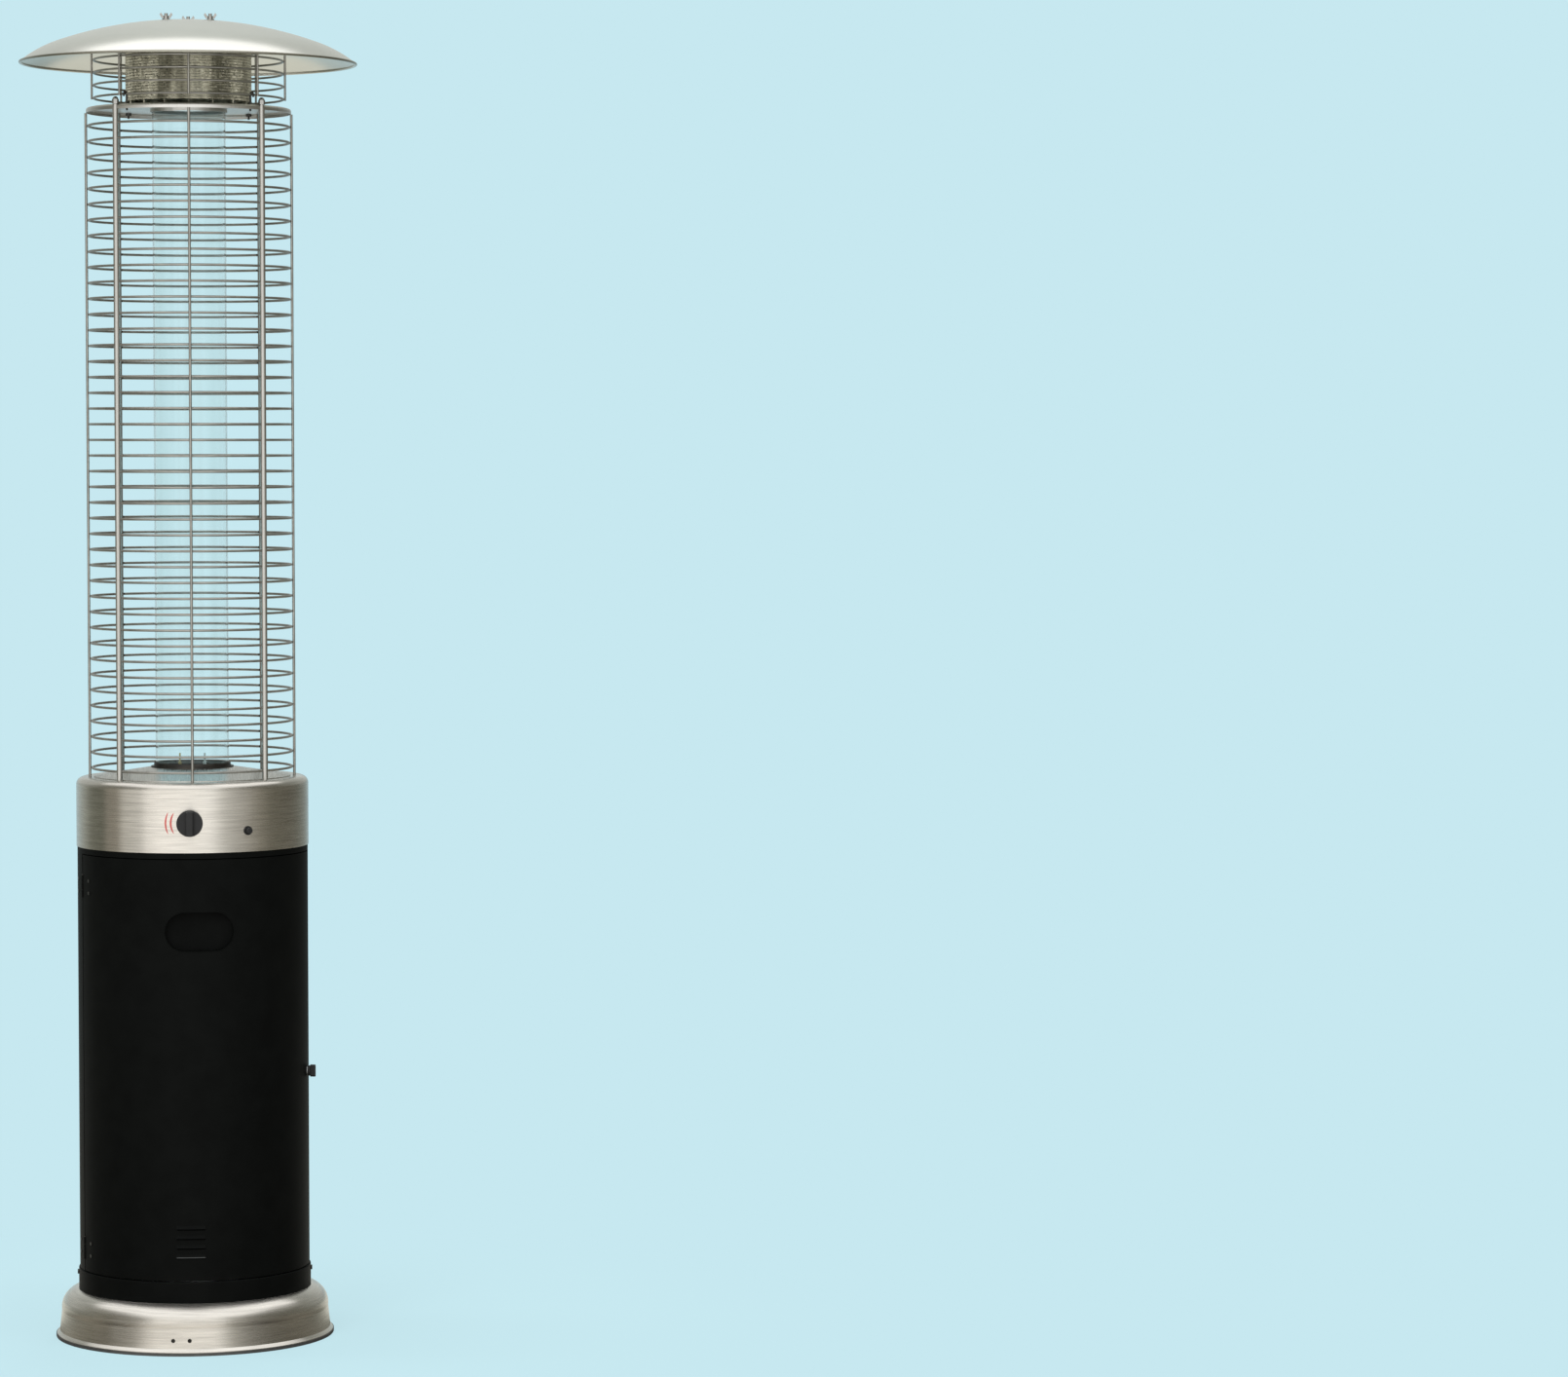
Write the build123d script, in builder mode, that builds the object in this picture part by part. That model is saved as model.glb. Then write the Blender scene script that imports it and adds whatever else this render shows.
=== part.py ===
import os
from math import cos, degrees, radians, sin, sqrt

from build123d import *

os.makedirs("parts", exist_ok=True)

# Lengths are in millimetres and angles in degrees. The origin is the centre of the
# footprint on the floor, +Z is up, and azimuth 0 is the front, which faces -Y.

# General clearances
overrun = 2.0
seat_gap = 0.2
motion_gap = 0.3
running_gap = 0.05

# Base
base_reach = 30.0
base_foot_step = 3.5
base_foot_rise = 5.0
base_lip_step = 4.5
base_lip_height = 6.0
base_band_rise = 32.0
base_shoulder_inset = 6.5
base_shoulder_rise = 24.0
base_crown_rise = 36.0
base_top_margin = 1.5
base_flange_width = 40.5
skirt_wall = 1.2
trim_wall = 1.3
trim_height = 5.0
trim_floor = 1.8
base_floor_rise = 0.5
base_floor_wall = 2.0
ballast_inner_radius = 60.0
ballast_side_gap = 13.0
ballast_height = 36.0
front_hole_radius = 3.3
front_hole_spacing = 26.2
front_hole_offset = -22.7
front_hole_rise = 13.0

# Bottle housing and its door
housing_radius = 187.0
housing_wall = 1.2
housing_height = 736.0
bottle_floor_wall = 1.5
hoop_wall = 2.0
hoop_gap = 2.0
door_sill = 36.0
door_lintel = 22.0
door_seam = 3.0
door_left_azimuth = -72.0
door_right_azimuth = 84.0
grip_azimuth = 3.0
grip_width = 113.0
grip_height = 66.0
grip_wall = 1.5
grip_depth = 24.0
grip_flange = 5.0
grip_drop = 116.0
louvre_azimuth = -2.0
louvre_width = 47.0
louvre_slot = 4.0
louvre_hood = 2.6
louvre_hood_wall = 1.0
louvre_pitch = 15.5
louvre_count = 4
louvre_lift = 37.4
vent_width = 60.0
vent_slot = 5.0
vent_pitch = 14.0
vent_count = 5
vent_low_lift = 80.0
vent_high_drop = 146.0
stop_wall = 1.2
stop_turn = 8.0
stop_overlap_turn = 1.8
stop_inset = 5.0

# Door hinges
hinge_low_lift = 37.0
hinge_high_drop = 51.0
hinge_height = 36.0
hinge_barrel_radius = 2.5
hinge_pin_radius = 1.5
hinge_pin_head = 0.6
hinge_leaf_wall = 1.0
hinge_leaf_reach = 34.0
hinge_notch_gap = 0.8
rivet_side_margin = 7.0
rivet_end_margin = 8.0
rivet_radius = 1.6
rivet_head_radius = 2.9
rivet_head = 0.9

# Quarter-turn latch of the door
latch_azimuth = 80.0
latch_lift = 318.0
latch_spindle_radius = 3.0
latch_bush_radius = 5.5
latch_bush_length = 6.0
latch_washer_radius = 8.0
latch_washer_wall = 1.0
latch_disc_radius = 8.5
latch_disc_height = 3.5
latch_bar_length = 20.0
latch_bar_width = 6.0
latch_bar_height = 8.5
latch_cam_wall = 2.0
latch_cam_width = 13.0
latch_cam_reach = 25.0
latch_nut_height = 4.0
latch_nut_flat = 10.0

# Control band and deck
band_overlap = 11.0
band_height = 112.0
band_wall = 1.2
band_crown = 12.0
band_flange_lap = 12.5
partition_wall = 1.2
hose_hole_radius = 26.0
deck_hem = 4.0
deck_flat_margin = 3.0
deck_hole_inset = 1.0
deck_rise = 15.0
deck_wall = 1.2

# Gas valve and its knob
knob_azimuth = -1.5
knob_rise = 48.0
knob_radius = 21.0
knob_disc = 8.0
knob_grip_height = 10.0
knob_grip_width = 11.0
knob_edge = 1.2
knob_lift = 4.2
knob_push = 3.5
stem_radius = 4.0
stem_hole_radius = 6.0
stem_depth_in_knob = 12.0
plug_radius = 9.0
plug_length = 22.0
plug_floor = 3.0
valve_setback = 19.2
valve_depth = 34.0
valve_width = 40.0
valve_tall = 44.0
valve_edge = 3.0
valve_cover_wall = 3.0
valve_cover_radius = 14.0
bracket_wall = 1.5
bracket_width = 52.0
bracket_foot = 24.0
inlet_radius = 6.6
inlet_length = 14.0
inlet_hex_flat = 17.0
inlet_hex_height = 6.0
inlet_bore_radius = 3.0

# Push-button igniter
igniter_azimuth = 27.8
igniter_rise = 34.0
button_radius = 5.0
button_proud = 7.5
button_edge = 1.0
button_travel = 5.0
button_length = 26.0
bezel_radius = 7.2
bezel_wall = 1.5
igniter_body_radius = 8.5
igniter_body_length = 46.0

# Burner
pot_side_gap = 2.0
pot_wall = 1.2
pot_depth = 50.8
pot_flange_width = 12.0
burner_side_gap = 0.4
burner_plate_wall = 1.5
burner_plate_skirt = 6.0
burner_hole_radius = 2.2
burner_ring_step = 12.0
mixer_radius = 11.0
mixer_wall = 1.5
mixer_lap = 11.2
mixer_flange_radius = 18.0
mixer_flange_wall = 2.0
mixer_port_radius = 3.5
injector_width = 26.0
injector_block_height = 13.0
injector_nozzle_radius = 4.5
injector_nozzle_height = 16.0
injector_bore_radius = 1.0
supply_tube_radius = 4.0
supply_tube_wall = 1.0
supply_port_drop = 8.0
supply_first_run = 36.0
supply_drop_radius = 54.0
supply_bend_radius = 14.0
probe_radius = 3.0
probe_tip_radius = 1.4
probe_tip_length = 14.0
probe_offset = 20.0
probe_forward = 28.0
probe_foot_drop = 18.0
probe_rise = 10.0
lead_radius = 1.6
lead_bend_radius = 11.0
lead_first_run = 28.0
lead_drop = 18.0
tilt_switch_width = 22.0
tilt_switch_height = 32.0
tilt_switch_place = 70.0
tilt_switch_edge = 2.0

# Glass tube and its seats
glass_radius = 59.5
glass_wall = 2.5
seat_ring_wall = 2.0
seat_ring_reach = 4.8
collar_wall = 1.5
collar_height = 5.5
gasket_wall = 1.5
gasket_height = 4.2
gasket_side_wall = 0.9

# Guard and posts of the tower
tower_height = 1085.0
tower_inset = 25.0
plate_wall = 1.2
plate_margin = 1.0
plate_rim_drop = 8.0
plate_crown = 4.0
plate_hole_gap = 0.5
ring_wire_radius = 2.0
ring_top_drop = 29.0
ring_pitch = 25.4
ring_floor_gap = 6.0
rib_wire_radius = 2.2
weld_depth = 0.4
post_count = 4
post_azimuth = 45.0
post_offset = 2.5
post_radius = 4.75
post_thread_radius = 2.9
post_thread_length = 7.0
post_notch_gap = 0.4
post_cap_flat = 9.6
post_cap_height = 7.0
post_screw_radius = 4.6
post_screw_head = 3.0
post_screw_shank = 2.4
post_screw_depth = 12.0

# Upper guard and its hooks
upper_ring_inset = 12.8
upper_ring_lift = 16.0
upper_ring_pitch = 20.5
upper_ring_count = 5
upper_wire_radius = 1.75
upper_panel_count = 8
upper_rib_foot = 2.0
upper_rib_gap = 1.8
hook_wire_radius = 1.6
hook_clear = 0.2
hook_tail = 4.0
hook_turn = 3.8
hook_drop = 9.0
hook_nut_flat = 8.0
hook_nut_height = 4.0

# Flame screen
screen_radius = 101.0
screen_wall = 0.8
screen_lift = 10.0
screen_height = 110.0
screen_pin_radius = 1.2
screen_pin_lap = 3.0
screen_pin_count = 16
cap_wall = 1.2
cap_skirt = 8.0

# Reflector dome
dome_rise = 21.8
dome_wall = 0.8
dome_crown_radius = 635.0
dome_crown_turn = 19.8
dome_rim_curve_radius = 193.0
dome_rim_turn = 19.2
dome_bead_radius = 2.2
stud_place_radius = 41.0
stud_count = 3
stud_azimuth = 60.0
stud_radius = 2.9
stud_below_cap = 7.0
stud_above_dome = 9.0
stud_hole_gap = 0.3
stud_nut_flat = 10.0
stud_nut_height = 5.0
washer_radius = 6.5
washer_wall = 1.2
wing_hub_radius = 4.4
wing_hub_height = 5.0
wing_reach = 10.5
wing_height = 10.5
wing_wall = 2.2

# Small screws
screw_radius = 4.0
screw_head = 2.2
screw_shank = 2.4
screw_length = 6.0
hoop_screw_lift = 25.0
hoop_screw_azimuths = (-90.0, 90.0, 150.0, -150.0)
band_screw_drop = 5.5
band_screw_azimuths = (120.0, 180.0, -120.0)

# Angle from the X axis to the front, and of any square corner
right_angle = 90.0

# Radii that follow, from the housing outwards and up the tower
housing_inner = housing_radius - housing_wall
housing_middle = housing_radius - housing_wall / 2
hoop_outer = housing_radius + hoop_wall
base_band_radius = housing_radius + base_reach
base_foot_radius = base_band_radius + base_foot_step
base_lip_radius = base_foot_radius + base_lip_step
base_shoulder_radius = base_band_radius - base_shoulder_inset
base_top_radius = hoop_outer + base_top_margin
base_flange_radius = base_top_radius - base_flange_width
ballast_outer_radius = base_band_radius - ballast_side_gap
band_inner = housing_radius + seat_gap
band_radius = band_inner + band_wall
ring_radius = housing_radius - tower_inset
rib_place_radius = ring_radius + ring_wire_radius + rib_wire_radius - weld_depth
post_place_radius = ring_radius + post_offset
band_flange_radius = post_place_radius - band_flange_lap
deck_rim_radius = post_place_radius - post_radius - seat_gap
deck_slope_radius = deck_rim_radius - deck_hem
plate_radius = post_place_radius + plate_margin
upper_ring_radius = plate_radius - upper_ring_inset
valve_front = band_inner - valve_setback
valve_rear = valve_front - valve_depth

# Radii that follow from the glass tube
glass_inner = glass_radius - glass_wall
gasket_inner = glass_radius + seat_gap / 2
gasket_outer = gasket_inner + gasket_side_wall
collar_inner = gasket_outer + seat_gap
collar_radius = collar_inner + collar_wall
seat_ring_radius = collar_radius + seat_ring_reach
deck_flat_radius = seat_ring_radius + deck_flat_margin
deck_hole_radius = glass_inner - deck_hole_inset
plate_hole_radius = glass_inner + plate_hole_gap
pot_radius = deck_hole_radius - pot_side_gap
pot_inner = pot_radius - pot_wall
pot_flange_radius = pot_radius + pot_flange_width
burner_plate_radius = pot_inner - burner_side_gap

# Heights that follow, from the floor up
base_foot_height = base_lip_height + base_foot_rise
base_band_height = base_foot_height + base_band_rise
base_shoulder_height = base_band_height + base_shoulder_rise
base_height = base_band_height + base_crown_rise
base_floor_lift = base_foot_height + base_floor_rise
front_hole_height = base_foot_height + front_hole_rise
housing_top = base_height + housing_height
door_bottom = base_height + door_sill
door_top = housing_top - door_lintel
hoop_top = door_bottom - hoop_gap
hinge_heights = (door_bottom + hinge_low_lift, door_top - hinge_high_drop)
latch_height = door_bottom + latch_lift
grip_centre_height = door_top - grip_drop
louvre_lowest = door_bottom + louvre_lift
vent_low_height = base_height + vent_low_lift
vent_high_height = housing_top - vent_high_drop
hoop_screw_height = base_height + hoop_screw_lift
band_screw_height = housing_top - band_screw_drop
partition_top = housing_top + partition_wall
band_bottom = housing_top - band_overlap
band_top = band_bottom + band_height
band_under = band_top - band_wall
knob_centre_height = band_bottom + knob_rise
igniter_centre_height = band_bottom + igniter_rise
deck_top = band_top + deck_rise
deck_under = deck_top - deck_wall
pot_bottom = deck_under - pot_depth
nozzle_low = partition_top + injector_block_height
nozzle_top = nozzle_low + injector_nozzle_height
mixer_bottom = nozzle_top - mixer_lap
probe_bottom = pot_bottom - probe_foot_drop
probe_top = deck_top + probe_rise
lead_low_height = probe_bottom - lead_drop
seat_top = deck_top + seat_ring_wall
glass_bottom = seat_top + gasket_wall
plate_height = band_top + tower_height
plate_under = plate_height - plate_wall
glass_top = plate_under - gasket_wall - seat_gap
ring_top_height = plate_height - ring_top_drop
ring_count = int((ring_top_height - band_top - ring_floor_gap) / ring_pitch) + 1
upper_ring_lowest = plate_height + upper_ring_lift
screen_bottom = plate_height + screen_lift
cap_bottom = screen_bottom + screen_height
cap_top = cap_bottom + cap_wall
dome_top = cap_top + dome_rise

# Seam and rivets of the door
seam_turn = degrees(door_seam / 2 / housing_middle)
rivet_reach = hinge_leaf_reach - rivet_side_margin
rivet_spacing = hinge_height - 2 * rivet_end_margin


def front_plane(azimuth, radius, height):
    """A plane that faces outwards at an azimuth, with its Y axis up."""
    turn = radians(azimuth)
    outward = (sin(turn), -cos(turn), 0)
    along = (cos(turn), sin(turn), 0)
    place = (radius * sin(turn), -radius * cos(turn), height)
    return Plane(origin=place, x_dir=along, z_dir=outward)


def radial_plane(azimuth):
    """A plane through the heater's axis: X is outwards at the azimuth and Y is up."""
    turn = radians(azimuth)
    along = (sin(turn), -cos(turn), 0)
    across = (-cos(turn), -sin(turn), 0)
    return Plane(origin=(0, 0, 0), x_dir=along, z_dir=across)


def ring_solid(inner, outer, low, high, mode=Mode.ADD):
    """A plain ring round the heater's axis."""
    with BuildSketch(Plane.XY.offset(low)) as profile:
        Circle(outer)
        Circle(inner, mode=Mode.SUBTRACT)
    extrude(profile.sketch, amount=high - low, mode=mode)


def sector_solid(inner, outer, start, end, low, high, mode=Mode.ADD):
    """A piece of curved sheet between two azimuths."""
    with BuildSketch(Plane.XY.offset(low)) as profile:
        with BuildLine():
            far = CenterArc((0, 0), outer, start - right_angle, end - start)
            near = CenterArc((0, 0), inner, start - right_angle, end - start)
            Line(far @ 0, near @ 0)
            Line(far @ 1, near @ 1)
        make_face()
    extrude(profile.sketch, amount=high - low, mode=mode)


def turned_solid(points):
    """A ring turned round the heater's axis from a closed outline of radii and heights."""
    with BuildSketch(radial_plane(90)) as profile:
        with BuildLine():
            Polyline(*points, close=True)
        make_face()
    revolve(profile.sketch, axis=Axis.Z)


def round_bar(plane, radius, low, high, mode=Mode.ADD):
    """A round bar along a plane's Z axis, between two offsets."""
    with BuildSketch(plane.offset(low)) as profile:
        Circle(radius)
    extrude(profile.sketch, amount=high - low, mode=mode)


def hex_bar(plane, flat, low, high, mode=Mode.ADD):
    """A hexagonal bar along a plane's Z axis, measured across its flats."""
    with BuildSketch(plane.offset(low)) as profile:
        RegularPolygon(flat / 2, 6, major_radius=False)
    extrude(profile.sketch, amount=high - low, mode=mode)


def dome_height_at(radius):
    """Height of the dome's outer surface over its crown."""
    return dome_top - dome_crown_radius + sqrt(dome_crown_radius ** 2 - radius ** 2)


def save(builder, label):
    """Label a finished piece and write it to its own file."""
    builder.part.label = label
    export_step(builder.part, "parts/" + label + ".step")


# Rubber trim on the base's lower edge
trim_outer = base_lip_radius + trim_wall
trim_inner = base_lip_radius - skirt_wall - trim_wall
with BuildPart() as base_trim:
    ring_solid(trim_inner, trim_outer, 0, trim_height)
    ring_solid(base_lip_radius - skirt_wall, base_lip_radius, trim_floor, trim_height, Mode.SUBTRACT)
    fillet(base_trim.edges().group_by(Axis.Z)[0], trim_wall / 2)
save(base_trim, "base_trim")


# Base skirt, pressed from stainless sheet
def skirt_region(inset, mode):
    with BuildLine() as outline:
        lip = Line((base_lip_radius - inset, trim_floor), (base_lip_radius - inset, base_lip_height))
        foot = Line(lip @ 1, (base_foot_radius - inset, base_foot_height))
        band = Line(foot @ 1, (base_band_radius - inset, base_band_height))
        lean = inset * sqrt(0.5)
        shoulder = ThreePointArc(
            band @ 1,
            (base_shoulder_radius - lean, base_shoulder_height - lean),
            (base_top_radius - lean, base_height - inset),
        )
        Polyline(shoulder @ 1, (0, base_height - inset), (0, trim_floor), lip @ 0)
    make_face(outline.edges(), mode=mode)


with BuildPart() as base_skirt:
    with BuildSketch(radial_plane(90)):
        skirt_region(0, Mode.ADD)
        skirt_region(skirt_wall, Mode.SUBTRACT)
    revolve(axis=Axis.Z)
    round_bar(Plane.XY, base_flange_radius, 0, base_height + overrun, Mode.SUBTRACT)
    for side in (-1, 1):
        hole_place = front_hole_offset + side * front_hole_spacing / 2
        hole_plane = Plane(origin=(hole_place, 0, front_hole_height), x_dir=(1, 0, 0), z_dir=(0, -1, 0))
        round_bar(hole_plane, front_hole_radius, 0, base_lip_radius + overrun, Mode.SUBTRACT)
save(base_skirt, "base_skirt")

# Base floor and the ballast that stands on it
base_floor_top = base_floor_lift + base_floor_wall
band_slope = (base_foot_radius - base_band_radius) / (base_band_height - base_foot_height)
skirt_at_floor = base_foot_radius - band_slope * (base_floor_top - base_foot_height)
base_floor_radius = skirt_at_floor - skirt_wall - seat_gap
with BuildPart() as base_floor:
    round_bar(Plane.XY, base_floor_radius, base_floor_lift, base_floor_top)
save(base_floor, "base_floor")

with BuildPart() as ballast_ring:
    ballast_top = base_floor_top + ballast_height
    ring_solid(ballast_inner_radius, ballast_outer_radius, base_floor_top, ballast_top)
save(ballast_ring, "ballast_ring")

# Floor of the bottle bay
bottle_floor_top = base_height + bottle_floor_wall
with BuildPart() as bottle_floor:
    round_bar(Plane.XY, housing_inner - seat_gap, base_height, bottle_floor_top)
save(bottle_floor, "bottle_floor")

# Lower hoop of the housing, and the screws through it and through the control band
with BuildPart() as lower_hoop:
    ring_solid(housing_radius, hoop_outer, base_height, hoop_top)
    fillet(lower_hoop.edges().group_by(Axis.Z)[-1].sort_by(SortBy.LENGTH)[-1], hoop_wall / 2)
    for azimuth in hoop_screw_azimuths:
        hole_plane = front_plane(azimuth, 0, hoop_screw_height)
        round_bar(hole_plane, screw_shank, housing_inner, hoop_outer + overrun, Mode.SUBTRACT)
save(lower_hoop, "lower_hoop")


def wall_screws(azimuths, height, face_radius):
    """Round-headed screws that pass inwards through the housing's wall."""
    for azimuth in azimuths:
        screw_plane = front_plane(azimuth, 0, height)
        head_low = face_radius + running_gap
        round_bar(screw_plane, screw_radius, head_low, head_low + screw_head)
        round_bar(screw_plane, screw_shank - running_gap, face_radius - screw_length, head_low)


with BuildPart() as housing_screws:
    wall_screws(hoop_screw_azimuths, hoop_screw_height, hoop_outer)
    wall_screws(band_screw_azimuths, band_screw_height, band_radius)
    fillet(housing_screws.edges().filter_by(GeomType.CIRCLE).group_by(SortBy.RADIUS)[-1], screw_head / 4)
save(housing_screws, "housing_screws")


def hinge_notches():
    """Room for the hinge barrels, cut from the sheet beside the seam."""
    for height in hinge_heights:
        with BuildSketch(front_plane(door_left_azimuth, housing_middle, height)) as notch:
            Rectangle(2 * (hinge_barrel_radius + hinge_notch_gap), hinge_height + 2 * hinge_notch_gap)
        extrude(notch.sketch, amount=hinge_barrel_radius, both=True, mode=Mode.SUBTRACT)


def rivet_places(side):
    """Azimuths and heights of the hinge rivets on one side of the seam."""
    azimuth = door_left_azimuth + side * degrees(rivet_reach / housing_middle)
    return [(azimuth, height + row * rivet_spacing / 2) for height in hinge_heights for row in (-1, 1)]


def rivet_holes(side):
    hole_low = housing_inner - overrun
    for azimuth, height in rivet_places(side):
        hole_plane = front_plane(azimuth, 0, height)
        round_bar(hole_plane, rivet_radius, hole_low, housing_radius + overrun, Mode.SUBTRACT)


def slot_row(azimuth, heights, width, slot):
    for height in heights:
        with BuildSketch(front_plane(azimuth, housing_inner - overrun, height)) as opening:
            SlotOverall(width, slot)
        extrude(opening.sketch, amount=housing_wall + 2 * overrun, mode=Mode.SUBTRACT)


# Rear shell of the housing
with BuildPart() as housing_shell:
    ring_solid(housing_inner, housing_radius, base_height, housing_top)
    sector_solid(
        housing_inner - overrun,
        housing_radius + overrun,
        door_left_azimuth - seam_turn,
        door_right_azimuth + seam_turn,
        door_bottom - door_seam / 2,
        door_top + door_seam / 2,
        Mode.SUBTRACT,
    )
    hinge_notches()
    rivet_holes(-1)
    for vent_height in (vent_low_height, vent_high_height):
        slot_row(180, [vent_height + row * vent_pitch for row in range(vent_count)], vent_width, vent_slot)
    for azimuth in hoop_screw_azimuths:
        hole_plane = front_plane(azimuth, 0, hoop_screw_height)
        round_bar(hole_plane, screw_shank, housing_inner - overrun, housing_radius + overrun, Mode.SUBTRACT)
    for azimuth in band_screw_azimuths:
        hole_plane = front_plane(azimuth, 0, band_screw_height)
        round_bar(hole_plane, screw_shank, housing_inner - overrun, housing_radius + overrun, Mode.SUBTRACT)
save(housing_shell, "housing_shell")

# Strip that the door closes against
stop_outer = housing_inner - motion_gap
with BuildPart() as door_stop:
    sector_solid(
        stop_outer - stop_wall,
        stop_outer,
        door_right_azimuth - stop_overlap_turn,
        door_right_azimuth - stop_overlap_turn + stop_turn,
        door_bottom + stop_inset,
        door_top - stop_inset,
    )
save(door_stop, "door_stop")

# Door panel with its louvres
louvre_heights = [louvre_lowest + row * louvre_pitch for row in range(louvre_count)]
louvre_turn = degrees(louvre_width / housing_radius)
latch_plane = front_plane(latch_azimuth, 0, latch_height)
with BuildPart() as door_panel:
    sector_solid(
        housing_inner,
        housing_radius,
        door_left_azimuth + seam_turn,
        door_right_azimuth - seam_turn,
        door_bottom,
        door_top,
    )
    slot_row(louvre_azimuth, louvre_heights, louvre_width, louvre_slot)
    with BuildSketch(radial_plane(louvre_azimuth - louvre_turn / 2)):
        for height in louvre_heights:
            hood_top = height + louvre_slot + louvre_hood
            with BuildLine():
                Polyline(
                    (housing_middle, hood_top),
                    (housing_radius + louvre_hood, height),
                    (housing_radius + louvre_hood - louvre_hood_wall, height),
                    (housing_middle, hood_top - louvre_hood),
                    close=True,
                )
            make_face()
    revolve(axis=Axis.Z, revolution_arc=louvre_turn)
    with BuildSketch(front_plane(grip_azimuth, 0, grip_centre_height)):
        SlotOverall(grip_width + 2 * seat_gap, grip_height + 2 * seat_gap)
    extrude(amount=housing_radius + overrun, mode=Mode.SUBTRACT)
    hinge_notches()
    rivet_holes(1)
    latch_hole = latch_bush_radius + running_gap
    round_bar(latch_plane, latch_hole, housing_inner - overrun, housing_radius + overrun, Mode.SUBTRACT)
save(door_panel, "door_panel")

# Recessed grip of the door
grip_plane = front_plane(grip_azimuth, 0, grip_centre_height)
grip_floor = housing_radius - grip_depth
grip_low = grip_centre_height - grip_height
grip_high = grip_centre_height + grip_height
grip_seat = housing_inner - running_gap
with BuildPart() as grip_flange_ring:
    with BuildSketch(grip_plane):
        SlotOverall(grip_width + 2 * grip_flange, grip_height + 2 * grip_flange)
        SlotOverall(grip_width - grip_wall, grip_height - grip_wall, mode=Mode.SUBTRACT)
    extrude(amount=housing_radius)
    ring_solid(grip_seat - grip_wall, grip_seat, grip_low, grip_high, Mode.INTERSECT)
with BuildPart() as grip_cup:
    with BuildSketch(grip_plane.offset(grip_floor)):
        SlotOverall(grip_width, grip_height)
    extrude(amount=grip_depth)
    with BuildSketch(grip_plane.offset(grip_floor + grip_wall)):
        SlotOverall(grip_width - 2 * grip_wall, grip_height - 2 * grip_wall)
    extrude(amount=grip_depth, mode=Mode.SUBTRACT)
    ring_solid(grip_floor - overrun, housing_radius, grip_low, grip_high, Mode.INTERSECT)
    add(grip_flange_ring.part)
save(grip_cup, "grip_cup")


# Door hinges
knuckle_height = hinge_height / 3
notch_turn = degrees((hinge_barrel_radius + hinge_notch_gap) / housing_middle)
leaf_turn = degrees(hinge_leaf_reach / housing_middle)
leaf_outer = housing_inner - running_gap
leaf_inner = leaf_outer - hinge_leaf_wall


def hinge_axis(height):
    """A level plane whose origin lies on the hinge axis."""
    place = front_plane(door_left_azimuth, housing_middle, height).origin
    return Plane(origin=place)


def hinge_leaf(height, side, rows):
    """One leaf: a curved plate, its knuckles and the tongues that join them."""
    low = height - hinge_height / 2
    near = door_left_azimuth + side * notch_turn
    far = door_left_azimuth + side * leaf_turn
    sector_solid(leaf_inner, leaf_outer, min(near, far), max(near, far), low, low + hinge_height)
    for row in rows:
        knuckle_low = low + row * knuckle_height + (motion_gap if row else 0)
        knuckle_high = low + (row + 1) * knuckle_height - (motion_gap if row < 2 else 0)
        tongue_ends = (door_left_azimuth, near + side * seam_turn)
        sector_solid(leaf_inner, leaf_outer, min(tongue_ends), max(tongue_ends), knuckle_low, knuckle_high)
        round_bar(hinge_axis(0), hinge_barrel_radius, knuckle_low, knuckle_high)


def leaf_cuts(side):
    """Pin bores and rivet holes of the leaves on one side."""
    for height in hinge_heights:
        bore = hinge_pin_radius + running_gap
        round_bar(hinge_axis(height), bore, -hinge_height, hinge_height, Mode.SUBTRACT)
    rivet_holes(side)


with BuildPart() as door_hinge_leaves:
    for height in hinge_heights:
        hinge_leaf(height, 1, (1,))
    leaf_cuts(1)
save(door_hinge_leaves, "door_hinge_leaves")

with BuildPart() as shell_hinge_leaves:
    for height in hinge_heights:
        hinge_leaf(height, -1, (0, 2))
    leaf_cuts(-1)
save(shell_hinge_leaves, "shell_hinge_leaves")

with BuildPart() as hinge_pins:
    for height in hinge_heights:
        pin_top = hinge_height / 2
        round_bar(hinge_axis(height), hinge_pin_radius, -pin_top, pin_top)
        round_bar(hinge_axis(height), hinge_barrel_radius - running_gap, pin_top, pin_top + hinge_pin_head)
save(hinge_pins, "hinge_pins")


def hinge_rivets(side):
    """Rivets with a head on each face of the sheet and leaf."""
    for azimuth, height in rivet_places(side):
        rivet_plane = front_plane(azimuth, 0, height)
        head_low = housing_radius + running_gap
        tail_high = leaf_inner - running_gap
        round_bar(rivet_plane, rivet_head_radius, head_low, head_low + rivet_head)
        round_bar(rivet_plane, rivet_radius - running_gap, tail_high, head_low)
        round_bar(rivet_plane, rivet_radius + rivet_head / 2, tail_high - rivet_head, tail_high)


with BuildPart() as door_rivets:
    hinge_rivets(1)
save(door_rivets, "door_rivets")

with BuildPart() as shell_rivets:
    hinge_rivets(-1)
save(shell_rivets, "shell_rivets")

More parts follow.
